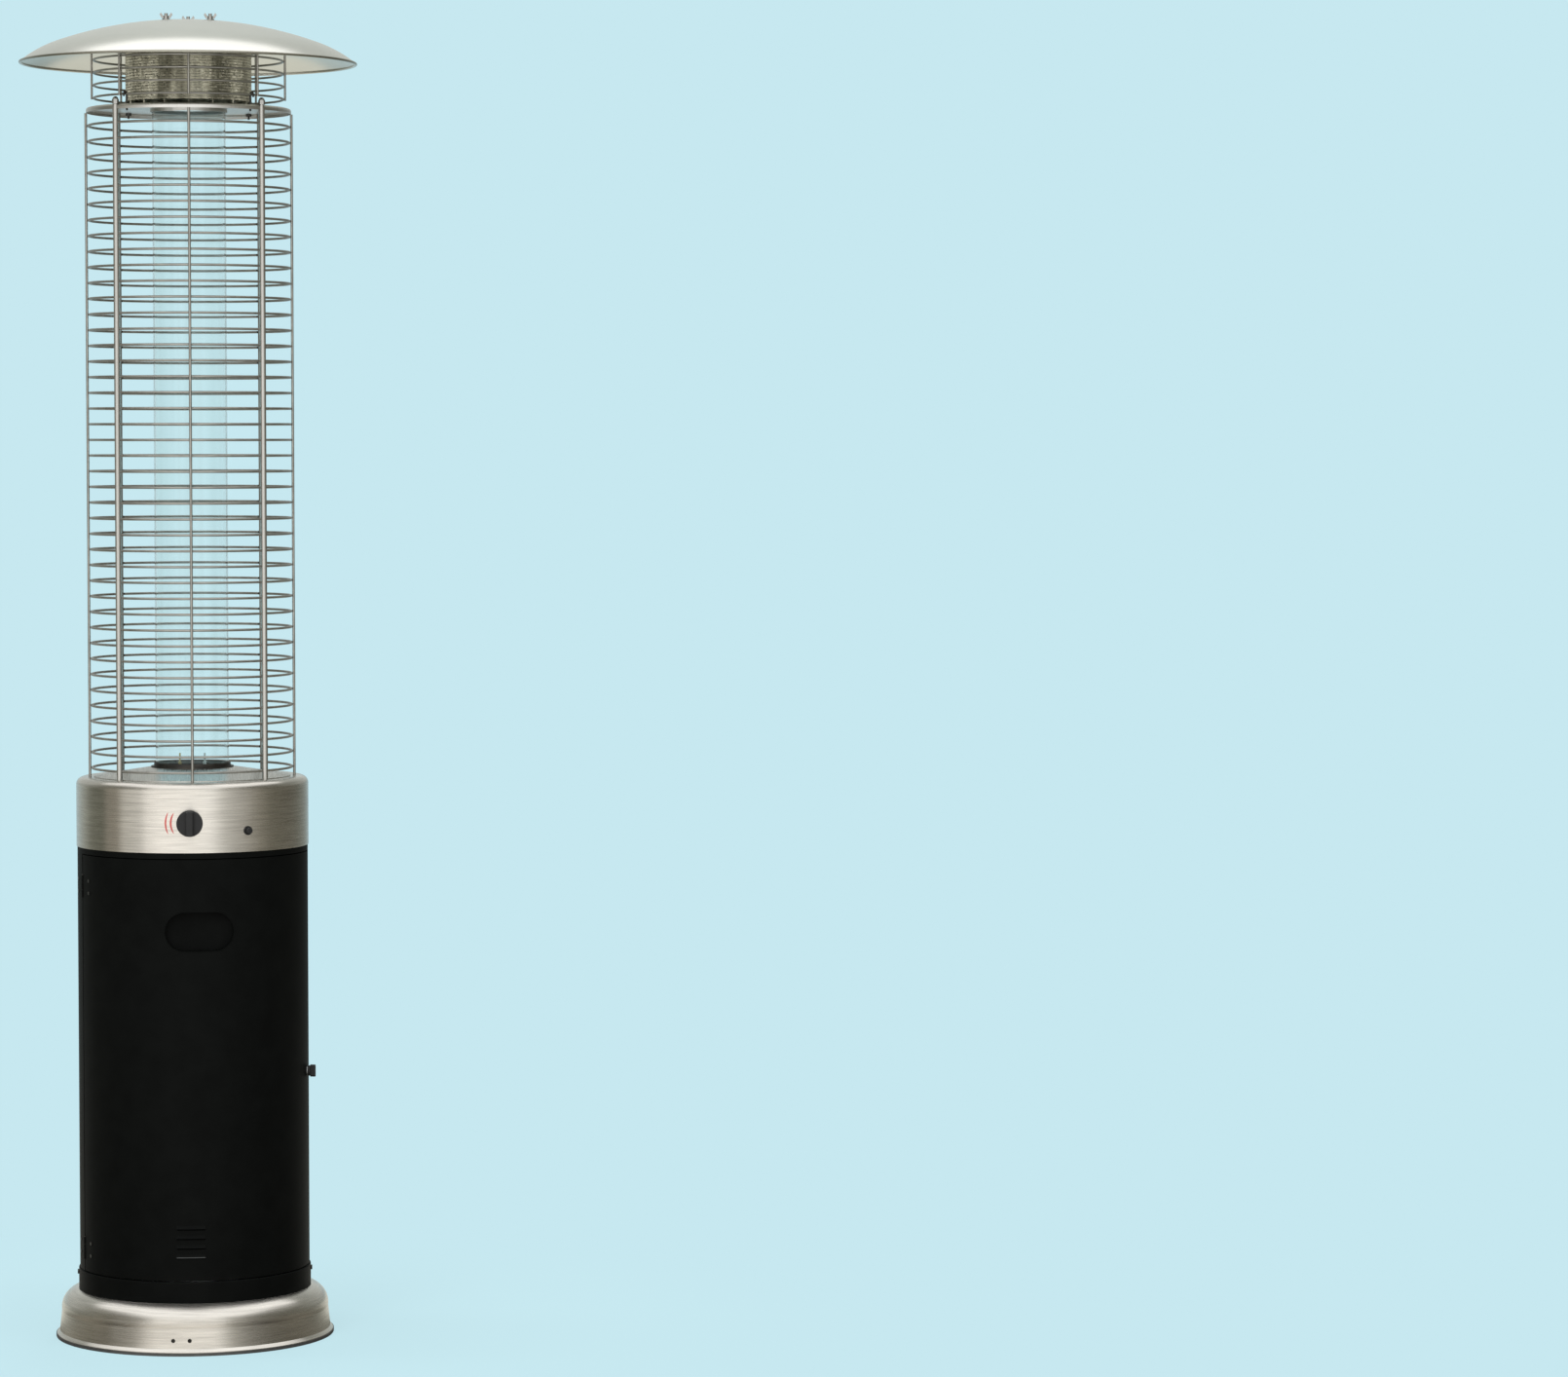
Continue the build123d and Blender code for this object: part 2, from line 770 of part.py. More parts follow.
# Latch of the door: the flanged bush stays on the door, the rest turns
bush_bore = latch_spindle_radius + running_gap
bush_inner_end = housing_inner - latch_bush_length
bush_flange_low = housing_radius + running_gap
bush_outer_end = bush_flange_low + latch_washer_wall
knob_inner_end = bush_outer_end + motion_gap
cam_outer_end = bush_inner_end - motion_gap
cam_inner_end = cam_outer_end - latch_cam_wall
spindle_end = cam_inner_end - latch_nut_height
with BuildPart() as latch_bush:
    round_bar(latch_plane, latch_bush_radius, bush_inner_end, bush_outer_end)
    round_bar(latch_plane, latch_washer_radius, bush_flange_low, bush_outer_end)
    round_bar(latch_plane, bush_bore, bush_inner_end, bush_outer_end, Mode.SUBTRACT)
save(latch_bush, "latch_bush")

latch_outward = Axis(latch_plane.origin, latch_plane.z_dir)
disc_outer_end = knob_inner_end + latch_disc_height
with BuildPart() as latch_knob:
    round_bar(latch_plane, latch_disc_radius, knob_inner_end, disc_outer_end)
    with BuildSketch(latch_plane.offset(disc_outer_end)):
        SlotOverall(latch_bar_length, latch_bar_width, rotation=90)
    extrude(amount=latch_bar_height)
    fillet(latch_knob.faces().sort_by(latch_outward)[-1].edges(), latch_bar_width / 6)
    round_bar(latch_plane, latch_spindle_radius, knob_inner_end, disc_outer_end, Mode.SUBTRACT)
save(latch_knob, "latch_knob")

with BuildPart() as latch_spindle:
    round_bar(latch_plane, latch_spindle_radius, spindle_end, disc_outer_end)
    hex_bar(latch_plane, latch_nut_flat, spindle_end, cam_inner_end)
save(latch_spindle, "latch_spindle")

with BuildPart() as latch_cam:
    with BuildSketch(latch_plane.offset(cam_inner_end)):
        with Locations((0, -(latch_cam_reach - latch_cam_width / 2) / 2)):
            SlotOverall(latch_cam_reach + latch_cam_width / 2, latch_cam_width, rotation=90)
        Circle(latch_spindle_radius, mode=Mode.SUBTRACT)
    extrude(amount=latch_cam_wall)
save(latch_cam, "latch_cam")

# Partition between the bottle bay and the burner
inlet_place = front_plane(knob_azimuth, (valve_front + valve_rear) / 2, 0).origin
with BuildPart() as partition_plate:
    round_bar(Plane.XY, housing_radius, housing_top, partition_top)
    with BuildSketch(Plane.XY.offset(housing_top)):
        with Locations((inlet_place.X, inlet_place.Y)):
            Circle(hose_hole_radius)
    extrude(amount=partition_wall, mode=Mode.SUBTRACT)
save(partition_plate, "partition_plate")

# Control band with its rounded crown and inner flange
knob_plane = front_plane(knob_azimuth, 0, knob_centre_height)
button_plane = front_plane(igniter_azimuth, 0, igniter_centre_height)
crown_centre = (band_radius - band_crown, band_top - band_crown)
with BuildPart() as control_band:
    with BuildSketch(radial_plane(90)):
        with BuildLine():
            outer_crown = CenterArc(crown_centre, band_crown, 0, 90)
            inner_crown = CenterArc(crown_centre, band_crown - band_wall, 0, 90)
            band_foot = [(band_radius, band_bottom), (band_inner, band_bottom)]
            Polyline(outer_crown @ 0, *band_foot, inner_crown @ 0)
            band_edge = [(band_flange_radius, band_top), (band_flange_radius, band_under)]
            Polyline(outer_crown @ 1, *band_edge, inner_crown @ 1)
        make_face()
    revolve(axis=Axis.Z)
    round_bar(knob_plane, stem_hole_radius, band_inner - overrun, band_radius + overrun, Mode.SUBTRACT)
    bezel_bore = button_radius + running_gap
    round_bar(button_plane, bezel_bore, band_inner - overrun, band_radius + overrun, Mode.SUBTRACT)
    for azimuth in band_screw_azimuths:
        hole_plane = front_plane(azimuth, 0, band_screw_height)
        round_bar(hole_plane, screw_shank, band_inner - overrun, band_radius + overrun, Mode.SUBTRACT)
    with BuildSketch(Plane.XY.offset(band_under)):
        with PolarLocations(post_place_radius, post_count, post_azimuth):
            Circle(post_screw_shank + running_gap)
    extrude(amount=band_wall, mode=Mode.SUBTRACT)
save(control_band, "control_band")

# Deck plate, a shallow cone that carries the glass tube
with BuildPart() as deck_plate:
    turned_solid(
        [
            (deck_rim_radius, band_top),
            (deck_rim_radius, band_top + deck_wall),
            (deck_slope_radius, band_top + deck_wall),
            (deck_flat_radius, deck_top),
            (deck_hole_radius, deck_top),
            (deck_hole_radius, deck_under),
            (deck_flat_radius, deck_under),
            (deck_slope_radius, band_top),
        ]
    )
save(deck_plate, "deck_plate")

# Gas valve: body, cover, plug, stem and knob
plug_front = valve_front - running_gap
plug_rear = plug_front - plug_length
with BuildPart() as valve_body:
    with BuildSketch(knob_plane.offset(valve_rear)):
        RectangleRounded(valve_width, valve_tall, valve_edge)
    extrude(amount=valve_front - valve_rear)
    round_bar(knob_plane, plug_radius + running_gap, plug_rear - running_gap, valve_front, Mode.SUBTRACT)
    inlet_high = knob_centre_height - plug_radius
    with BuildSketch(Plane(origin=(inlet_place.X, inlet_place.Y, 0))):
        Circle(inlet_bore_radius)
    extrude(amount=inlet_high, mode=Mode.SUBTRACT)
save(valve_body, "valve_body")

with BuildPart() as valve_cover:
    round_bar(knob_plane, valve_cover_radius, valve_front, valve_front + valve_cover_wall)
    stem_clear = stem_radius + running_gap
    round_bar(knob_plane, stem_clear, valve_front, valve_front + valve_cover_wall, Mode.SUBTRACT)
save(valve_cover, "valve_cover")

with BuildPart() as valve_plug:
    round_bar(knob_plane, plug_radius, plug_rear, plug_front)
    round_bar(knob_plane, stem_clear, plug_rear + plug_floor, plug_front, Mode.SUBTRACT)
save(valve_plug, "valve_plug")

knob_back = band_radius + knob_lift
stem_inner_end = plug_rear + plug_floor + knob_push + motion_gap
stem_outer_end = knob_back + stem_depth_in_knob
with BuildPart() as valve_stem:
    round_bar(knob_plane, stem_radius, stem_inner_end, stem_outer_end)
save(valve_stem, "valve_stem")

knob_outward = Axis(knob_plane.origin, knob_plane.z_dir)
with BuildPart() as control_knob:
    round_bar(knob_plane, knob_radius, knob_back, knob_back + knob_disc)
    fillet(control_knob.faces().sort_by(knob_outward)[-1].edges(), knob_edge)
    with BuildSketch(knob_plane.offset(knob_back + knob_disc / 2)):
        Circle(knob_radius - knob_edge)
        with Locations((knob_grip_width / 2 + knob_radius, 0), (-knob_grip_width / 2 - knob_radius, 0)):
            Rectangle(2 * knob_radius, 2 * knob_radius, mode=Mode.SUBTRACT)
    extrude(amount=knob_disc / 2 + knob_grip_height)
    fillet(control_knob.faces().sort_by(knob_outward)[-1].edges(), knob_edge)
    round_bar(knob_plane, stem_radius, knob_back, stem_outer_end, Mode.SUBTRACT)
save(control_knob, "control_knob")

# Bracket that carries the valve on the partition
with BuildPart() as valve_bracket:
    bracket_plane = front_plane(knob_azimuth, 0, 0)
    bracket_rear = valve_rear - bracket_wall
    with BuildSketch(bracket_plane.offset(bracket_rear)):
        with Locations((0, (partition_top + knob_centre_height + valve_tall / 2) / 2)):
            Rectangle(bracket_width, knob_centre_height + valve_tall / 2 - partition_top)
    extrude(amount=bracket_wall)
    with BuildSketch(bracket_plane.offset(bracket_rear - bracket_foot)):
        with Locations((0, partition_top + bracket_wall / 2)):
            Rectangle(bracket_width, bracket_wall)
    extrude(amount=bracket_foot)
    supply_height = knob_centre_height - supply_port_drop
    round_bar(
        front_plane(knob_azimuth, 0, supply_height),
        supply_tube_radius + running_gap,
        bracket_rear,
        valve_rear,
        Mode.SUBTRACT,
    )
    lead_port_height = knob_centre_height + supply_port_drop
    round_bar(
        front_plane(knob_azimuth, 0, lead_port_height),
        lead_radius + running_gap,
        bracket_rear,
        valve_rear,
        Mode.SUBTRACT,
    )
save(valve_bracket, "valve_bracket")

# Gas inlet under the valve
inlet_top = knob_centre_height - valve_tall / 2
with BuildPart() as gas_inlet:
    inlet_plane = Plane(origin=(inlet_place.X, inlet_place.Y, 0))
    hex_bar(inlet_plane, inlet_hex_flat, inlet_top - inlet_hex_height, inlet_top)
    inlet_low = inlet_top - inlet_hex_height - inlet_length
    round_bar(inlet_plane, inlet_radius, inlet_low, inlet_top - inlet_hex_height)
    round_bar(inlet_plane, inlet_bore_radius, inlet_low, inlet_top, Mode.SUBTRACT)
save(gas_inlet, "gas_inlet")

# Push-button igniter
button_rear = band_radius + button_proud - button_length
igniter_front = band_inner - seat_gap
igniter_rear = igniter_front - igniter_body_length
with BuildPart() as igniter_body:
    round_bar(button_plane, igniter_body_radius, igniter_rear, igniter_front)
    igniter_bore_end = button_rear - button_travel - motion_gap
    round_bar(button_plane, bezel_bore, igniter_bore_end, igniter_front, Mode.SUBTRACT)
save(igniter_body, "igniter_body")

with BuildPart() as igniter_bezel:
    bezel_low = band_radius + running_gap
    round_bar(button_plane, bezel_radius, bezel_low, bezel_low + bezel_wall)
    round_bar(button_plane, bezel_bore, bezel_low, bezel_low + bezel_wall, Mode.SUBTRACT)
save(igniter_bezel, "igniter_bezel")

with BuildPart() as igniter_button:
    round_bar(button_plane, button_radius, button_rear, band_radius + button_proud)
    button_outward = Axis(button_plane.origin, button_plane.z_dir)
    fillet(igniter_button.faces().sort_by(button_outward)[-1].edges(), button_edge)
save(igniter_button, "igniter_button")

# Burner pot, perforated plate and mixer
with BuildPart() as burner_pot:
    turned_solid(
        [
            (mixer_radius, pot_bottom),
            (pot_radius, pot_bottom),
            (pot_radius, deck_under - pot_wall),
            (pot_flange_radius, deck_under - pot_wall),
            (pot_flange_radius, deck_under),
            (pot_inner, deck_under),
            (pot_inner, pot_bottom + pot_wall),
            (mixer_radius, pot_bottom + pot_wall),
        ]
    )
    with BuildSketch(Plane.XY.offset(pot_bottom)):
        with Locations((probe_offset, -probe_forward), (-probe_offset, -probe_forward)):
            Circle(probe_radius)
    extrude(amount=pot_wall, mode=Mode.SUBTRACT)
save(burner_pot, "burner_pot")

with BuildPart() as burner_plate:
    burner_top = deck_top
    burner_low = burner_top - burner_plate_wall
    round_bar(Plane.XY, burner_plate_radius, burner_low - burner_plate_skirt, burner_top)
    skirt_inner = burner_plate_radius - burner_plate_wall
    round_bar(Plane.XY, skirt_inner, burner_low - burner_plate_skirt, burner_low, Mode.SUBTRACT)
    with BuildSketch(Plane.XY.offset(burner_low)):
        Circle(burner_hole_radius)
        for ring in (1, 2, 3):
            with PolarLocations(ring * burner_ring_step, 6 * ring, 90 / ring):
                Circle(burner_hole_radius)
        with Locations((probe_offset, -probe_forward), (-probe_offset, -probe_forward)):
            Circle(probe_radius + seat_gap)
    extrude(amount=burner_plate_wall, mode=Mode.SUBTRACT)
save(burner_plate, "burner_plate")

with BuildPart() as mixer_tube:
    mixer_top = pot_bottom + pot_wall + mixer_flange_wall
    round_bar(Plane.XY, mixer_radius, mixer_bottom, mixer_top)
    ring_solid(mixer_radius, mixer_flange_radius, pot_bottom + pot_wall, mixer_top)
    round_bar(Plane.XY, mixer_radius - mixer_wall, mixer_bottom, mixer_top, Mode.SUBTRACT)
    port_height = mixer_bottom + injector_nozzle_height
    port_reach = mixer_radius + overrun
    for azimuth in (45, 135):
        port_plane = front_plane(azimuth, 0, port_height)
        round_bar(port_plane, mixer_port_radius, -port_reach, port_reach, Mode.SUBTRACT)
save(mixer_tube, "mixer_tube")

with BuildPart() as injector:
    with BuildSketch(Plane.XY.offset(partition_top)):
        Rectangle(injector_width, injector_width)
    extrude(amount=injector_block_height)
    round_bar(Plane.XY, injector_nozzle_radius, nozzle_low, nozzle_top)
    round_bar(Plane.XY, injector_bore_radius, nozzle_low, nozzle_top, Mode.SUBTRACT)
save(injector, "injector")


def swept_pipe(points, bend_radius, radius, bore):
    """A pipe of straight runs joined by tangent bends."""
    with BuildLine() as route:
        FilletPolyline(*points, radius=bend_radius)
    with BuildSketch(Plane(origin=route.wire() @ 0, z_dir=route.wire() % 0)) as section:
        Circle(radius)
        if bore:
            Circle(bore, mode=Mode.SUBTRACT)
    sweep(section.sketch, path=route.wire())


# Rigid gas pipe from the valve to the injector
supply_port = front_plane(knob_azimuth, valve_rear, supply_height)
supply_bend = supply_port.origin - supply_port.z_dir * supply_first_run
supply_level = partition_top + injector_block_height / 2
supply_low = front_plane(knob_azimuth, supply_drop_radius, supply_level).origin
with BuildPart() as supply_pipe:
    swept_pipe(
        [
            supply_port.origin,
            supply_bend,
            supply_low,
            Vector(supply_low.X, -injector_width / 2, supply_level),
        ],
        supply_bend_radius,
        supply_tube_radius,
        supply_tube_radius - supply_tube_wall,
    )
save(supply_pipe, "supply_pipe")


def probe(side, start, inward):
    """A rod with a thin tip above the burner plate, and the lead to its foot."""
    probe_plane = Plane(origin=(side * probe_offset, -probe_forward, 0))
    round_bar(probe_plane, probe_radius, probe_bottom, probe_top)
    round_bar(probe_plane, probe_tip_radius, probe_top, probe_top + probe_tip_length)
    foot = Vector(side * probe_offset, -probe_forward, probe_bottom + lead_radius)
    corner = Vector(foot.X, foot.Y, lead_low_height)
    swept_pipe([start, start + inward * lead_first_run, corner, foot], lead_bend_radius, lead_radius, 0)


# Spark electrode with its lead from the igniter, and thermocouple with its lead from the valve
igniter_back = front_plane(igniter_azimuth, igniter_rear, igniter_centre_height)
with BuildPart() as electrode:
    probe(1, igniter_back.origin, -igniter_back.z_dir)
save(electrode, "electrode")

valve_back = front_plane(knob_azimuth, valve_rear, lead_port_height)
with BuildPart() as thermocouple:
    probe(-1, valve_back.origin, -valve_back.z_dir)
save(thermocouple, "thermocouple")

# Safety tilt switch on the partition
with BuildPart() as tilt_switch:
    with BuildSketch(Plane.XY.offset(partition_top)):
        with Locations((tilt_switch_place, tilt_switch_place)):
            RectangleRounded(tilt_switch_width, tilt_switch_width, tilt_switch_edge)
    extrude(amount=tilt_switch_height)
save(tilt_switch, "tilt_switch")

# Seat ring, gaskets and glass tube
with BuildPart() as tube_seat:
    ring_solid(deck_hole_radius, seat_ring_radius, deck_top, seat_top)
    ring_solid(collar_inner, collar_radius, seat_top, seat_top + collar_height)
save(tube_seat, "tube_seat")

upper_gasket = plate_under - gasket_wall
with BuildPart() as tube_gaskets:
    ring_solid(glass_inner, gasket_outer, seat_top, glass_bottom)
    ring_solid(gasket_inner, gasket_outer, glass_bottom, seat_top + gasket_height)
    ring_solid(glass_inner, gasket_outer, upper_gasket, plate_under)
    ring_solid(gasket_inner, gasket_outer, plate_under - gasket_height, upper_gasket)
save(tube_gaskets, "tube_gaskets")

with BuildPart() as glass_tube:
    ring_solid(glass_inner, glass_radius, glass_bottom, glass_top)
save(glass_tube, "glass_tube")

# Guard of the tower: four quarter panels of ring wires on one upright each
ring_heights = [ring_top_height - row * ring_pitch for row in range(ring_count)]
arc_end_turn = degrees((post_radius + motion_gap) / ring_radius)
arc_turn = 360 / post_count - 2 * arc_end_turn
rib_top = plate_height - plate_rim_drop - seat_gap
with BuildPart() as guard_front:
    with BuildSketch(radial_plane(-arc_turn / 2)):
        with Locations(*[(ring_radius, height) for height in ring_heights]):
            Circle(ring_wire_radius)
    revolve(axis=Axis.Z, revolution_arc=arc_turn)
    round_bar(Plane(origin=(0, -rib_place_radius, 0)), rib_wire_radius, band_top, rib_top)
save(guard_front, "guard_front")

with BuildPart() as guard_right:
    add(guard_front.part, rotation=(0, 0, 90))
save(guard_right, "guard_right")

with BuildPart() as guard_rear:
    add(guard_front.part, rotation=(0, 0, 180))
save(guard_rear, "guard_rear")

with BuildPart() as guard_left:
    add(guard_front.part, rotation=(0, 0, 270))
save(guard_left, "guard_left")


def post_axes(azimuth):
    """Level planes on the four post axes, turned by an azimuth from the front."""
    turns = [azimuth + count * 360 / post_count for count in range(post_count)]
    return [Plane(origin=front_plane(turn, post_place_radius, 0).origin) for turn in turns]


# Posts, their screws below and cap nuts above
with BuildPart() as support_posts:
    for axis in post_axes(post_azimuth):
        round_bar(axis, post_radius, band_top, plate_under)
        round_bar(axis, post_thread_radius, plate_under, plate_height + post_thread_length)
        screw_bore = post_screw_shank + running_gap
        round_bar(axis, screw_bore, band_top, band_top + post_screw_depth, Mode.SUBTRACT)
save(support_posts, "support_posts")

with BuildPart() as post_screws:
    for axis in post_axes(post_azimuth):
        round_bar(axis, post_screw_radius, band_under - post_screw_head, band_under)
        round_bar(axis, post_screw_shank, band_under, band_top + post_screw_depth - motion_gap)
save(post_screws, "post_screws")

with BuildPart() as post_caps:
    cap_nut_top = plate_height + post_cap_height
    for axis in post_axes(post_azimuth):
        hex_bar(axis, post_cap_flat, plate_height, cap_nut_top)
        with Locations(Location(axis.offset(cap_nut_top))):
            Sphere(post_cap_flat / 2, arc_size1=0, align=(Align.CENTER, Align.CENTER, Align.MIN))
        thread_top = plate_height + post_thread_length
        round_bar(axis, post_thread_radius, plate_height, thread_top, Mode.SUBTRACT)
save(post_caps, "post_caps")

# Top plate of the tower
rim_bottom = plate_height - plate_rim_drop
plate_crown_centre = (plate_radius - plate_crown, plate_height - plate_crown)
hook_leg_radius = upper_ring_radius - upper_wire_radius - hook_wire_radius - hook_clear
hook_azimuths = [
    side * (post_azimuth - hook_turn) + half for half in (0, 180) for side in (-1, 1)
]
with BuildPart() as top_plate:
    with BuildSketch(radial_plane(90)):
        with BuildLine():
            outer_crown = CenterArc(plate_crown_centre, plate_crown, 0, 90)
            inner_crown = CenterArc(plate_crown_centre, plate_crown - plate_wall, 0, 90)
            plate_rim = [(plate_radius, rim_bottom), (plate_radius - plate_wall, rim_bottom)]
            Polyline(outer_crown @ 0, *plate_rim, inner_crown @ 0)
            plate_edge = [(plate_hole_radius, plate_height), (plate_hole_radius, plate_under)]
            Polyline(outer_crown @ 1, *plate_edge, inner_crown @ 1)
        make_face()
    revolve(axis=Axis.Z)
    thread_hole = post_thread_radius + running_gap
    for axis in post_axes(post_azimuth):
        round_bar(axis, post_radius + post_notch_gap, rim_bottom - overrun, plate_under, Mode.SUBTRACT)
        round_bar(axis, thread_hole, plate_under, plate_height + overrun, Mode.SUBTRACT)
    hook_hole = hook_wire_radius + running_gap
    for azimuth in hook_azimuths:
        hook_axis = Plane(origin=front_plane(azimuth, hook_leg_radius, 0).origin)
        round_bar(hook_axis, hook_hole, plate_under, plate_height + overrun, Mode.SUBTRACT)
save(top_plate, "top_plate")

# Collar below the plate that holds the tube's upper end
with BuildPart() as tube_collar:
    ring_solid(collar_inner, collar_radius, plate_under - collar_height, plate_under)
save(tube_collar, "tube_collar")

# Hooks, each with its nut, that hold the upper guard down to the top plate
hook_bend = upper_wire_radius + hook_wire_radius + hook_clear
with BuildPart() as guard_hooks:
    for azimuth in hook_azimuths:
        with BuildLine(radial_plane(azimuth)) as hook_route:
            leg = Line((hook_leg_radius, plate_under - hook_drop), (hook_leg_radius, upper_ring_lowest))
            over = ThreePointArc(
                leg @ 1,
                (upper_ring_radius, upper_ring_lowest + hook_bend),
                (upper_ring_radius + hook_bend, upper_ring_lowest),
            )
            Line(over @ 1, (upper_ring_radius + hook_bend, upper_ring_lowest - hook_tail))
        with BuildSketch(Plane(origin=hook_route.wire() @ 0, z_dir=hook_route.wire() % 0)):
            Circle(hook_wire_radius)
        sweep(path=hook_route.wire())
        hook_axis = Plane(origin=front_plane(azimuth, hook_leg_radius, 0).origin)
        hex_bar(hook_axis, hook_nut_flat, plate_under - hook_nut_height, plate_under)
save(guard_hooks, "guard_hooks")

# Upper guard: panels of rings, each on an upright that reaches up under the dome
upper_rib_radius = upper_ring_radius + 2 * upper_wire_radius - weld_depth
upper_rib_top = dome_height_at(upper_rib_radius + upper_wire_radius) - dome_wall - upper_rib_gap
upper_ring_heights = [upper_ring_lowest + row * upper_ring_pitch for row in range(upper_ring_count)]
upper_panel_turn = 360 / upper_panel_count
upper_joint_turn = degrees(running_gap / upper_ring_radius)
with BuildPart() as upper_guard:
    for panel in range(upper_panel_count):
        rib_azimuth = panel * upper_panel_turn
        with BuildSketch(radial_plane(rib_azimuth - upper_panel_turn / 2 + upper_joint_turn)):
            with Locations(*[(upper_ring_radius, height) for height in upper_ring_heights]):
                Circle(upper_wire_radius)
        revolve(axis=Axis.Z, revolution_arc=upper_panel_turn - upper_joint_turn)
        rib_axis = Plane(origin=front_plane(rib_azimuth, upper_rib_radius, 0).origin)
        round_bar(rib_axis, upper_wire_radius, upper_ring_lowest - upper_rib_foot, upper_rib_top)
save(upper_guard, "upper_guard")

# Flame screen on its feet, and its cap
pin_place_radius = screen_radius - screen_wall / 2
with BuildPart() as flame_screen:
    ring_solid(screen_radius - screen_wall, screen_radius, screen_bottom, cap_bottom)
    for count in range(screen_pin_count):
        pin_axis = Plane(origin=front_plane(count * 360 / screen_pin_count, pin_place_radius, 0).origin)
        round_bar(pin_axis, screen_pin_radius, plate_height, screen_bottom + screen_pin_lap)
save(flame_screen, "flame_screen")

stud_azimuths = [stud_azimuth + count * 360 / stud_count for count in range(stud_count)]
stud_axes = [Plane(origin=front_plane(azimuth, stud_place_radius, 0).origin) for azimuth in stud_azimuths]
with BuildPart() as screen_cap:
    cap_outer = screen_radius + running_gap + cap_wall
    round_bar(Plane.XY, cap_outer, cap_top - cap_skirt, cap_top)
    round_bar(Plane.XY, cap_outer - cap_wall, cap_top - cap_skirt, cap_bottom, Mode.SUBTRACT)
    for axis in stud_axes:
        round_bar(axis, stud_radius + running_gap, cap_bottom, cap_top, Mode.SUBTRACT)
save(screen_cap, "screen_cap")

# Reflector dome: a wide crown, a tighter rim curve and a rolled bead
crown_end = right_angle - dome_crown_turn
rim_end = crown_end - dome_rim_turn
dome_centre = (0, dome_top - dome_crown_radius)
rim_shift = dome_crown_radius - dome_rim_curve_radius
rim_centre = (rim_shift * cos(radians(crown_end)), dome_centre[1] + rim_shift * sin(radians(crown_end)))
with BuildPart() as dome:
    with BuildSketch(radial_plane(90)):
        with BuildLine():
            outer_crown = CenterArc(dome_centre, dome_crown_radius, crown_end, dome_crown_turn)
            inner_crown = CenterArc(dome_centre, dome_crown_radius - dome_wall, crown_end, dome_crown_turn)
            outer_rim = CenterArc(rim_centre, dome_rim_curve_radius, rim_end, dome_rim_turn)
            inner_rim = CenterArc(rim_centre, dome_rim_curve_radius - dome_wall, rim_end, dome_rim_turn)
            Line(outer_rim @ 0, inner_rim @ 0)
            Line(outer_crown @ 1, inner_crown @ 1)
        make_face()
        with Locations(inner_rim @ 0):
            Circle(dome_bead_radius)
    revolve(axis=Axis.Z)
    for axis in stud_axes:
        stud_hole = stud_radius + stud_hole_gap
        round_bar(axis, stud_hole, cap_top, dome_top + overrun, Mode.SUBTRACT)
save(dome, "dome")

# Studs with their nuts below the dome, and flanged wing nuts above it
washer_low = dome_height_at(stud_place_radius - washer_radius) + running_gap
washer_high = washer_low + washer_wall
dome_nut_corner = stud_nut_flat / 2 / cos(radians(30))
dome_nut_high = dome_height_at(stud_place_radius + dome_nut_corner) - dome_wall - seat_gap
with BuildPart() as dome_studs:
    for axis in stud_axes:
        round_bar(axis, stud_radius, cap_bottom - stud_below_cap, washer_high + stud_above_dome)
        for nut_low in (cap_bottom - stud_nut_height, cap_top, dome_nut_high - stud_nut_height):
            hex_bar(axis, stud_nut_flat, nut_low, nut_low + stud_nut_height)
save(dome_studs, "dome_studs")

with BuildPart() as wing_nuts:
    for axis in stud_axes:
        round_bar(axis, washer_radius, washer_low, washer_high)
        round_bar(axis, wing_hub_radius, washer_high, washer_high + wing_hub_height)
        wing_origin = axis.origin + Vector(0, 0, washer_high)
        wing_plane = Plane(origin=wing_origin, x_dir=(1, 0, 0), z_dir=(0, -1, 0))
        with BuildSketch(wing_plane):
            for side in (-1, 1):
                with BuildLine():
                    Polyline(
                        (0, wing_wall / 2),
                        (side * wing_reach * 2 / 3, wing_wall / 2),
                        (side * wing_reach, wing_height * 2 / 3),
                        (side * (wing_reach - wing_wall), wing_height),
                        (side * wing_hub_radius, wing_hub_height),
                        (0, wing_hub_height),
                        close=True,
                    )
                make_face()
        extrude(amount=wing_wall / 2, both=True)
        round_bar(axis, stud_radius + running_gap, washer_low, washer_high + wing_hub_height, Mode.SUBTRACT)
save(wing_nuts, "wing_nuts")
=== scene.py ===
from math import pi, radians

import bpy
from mathutils import Matrix, Vector


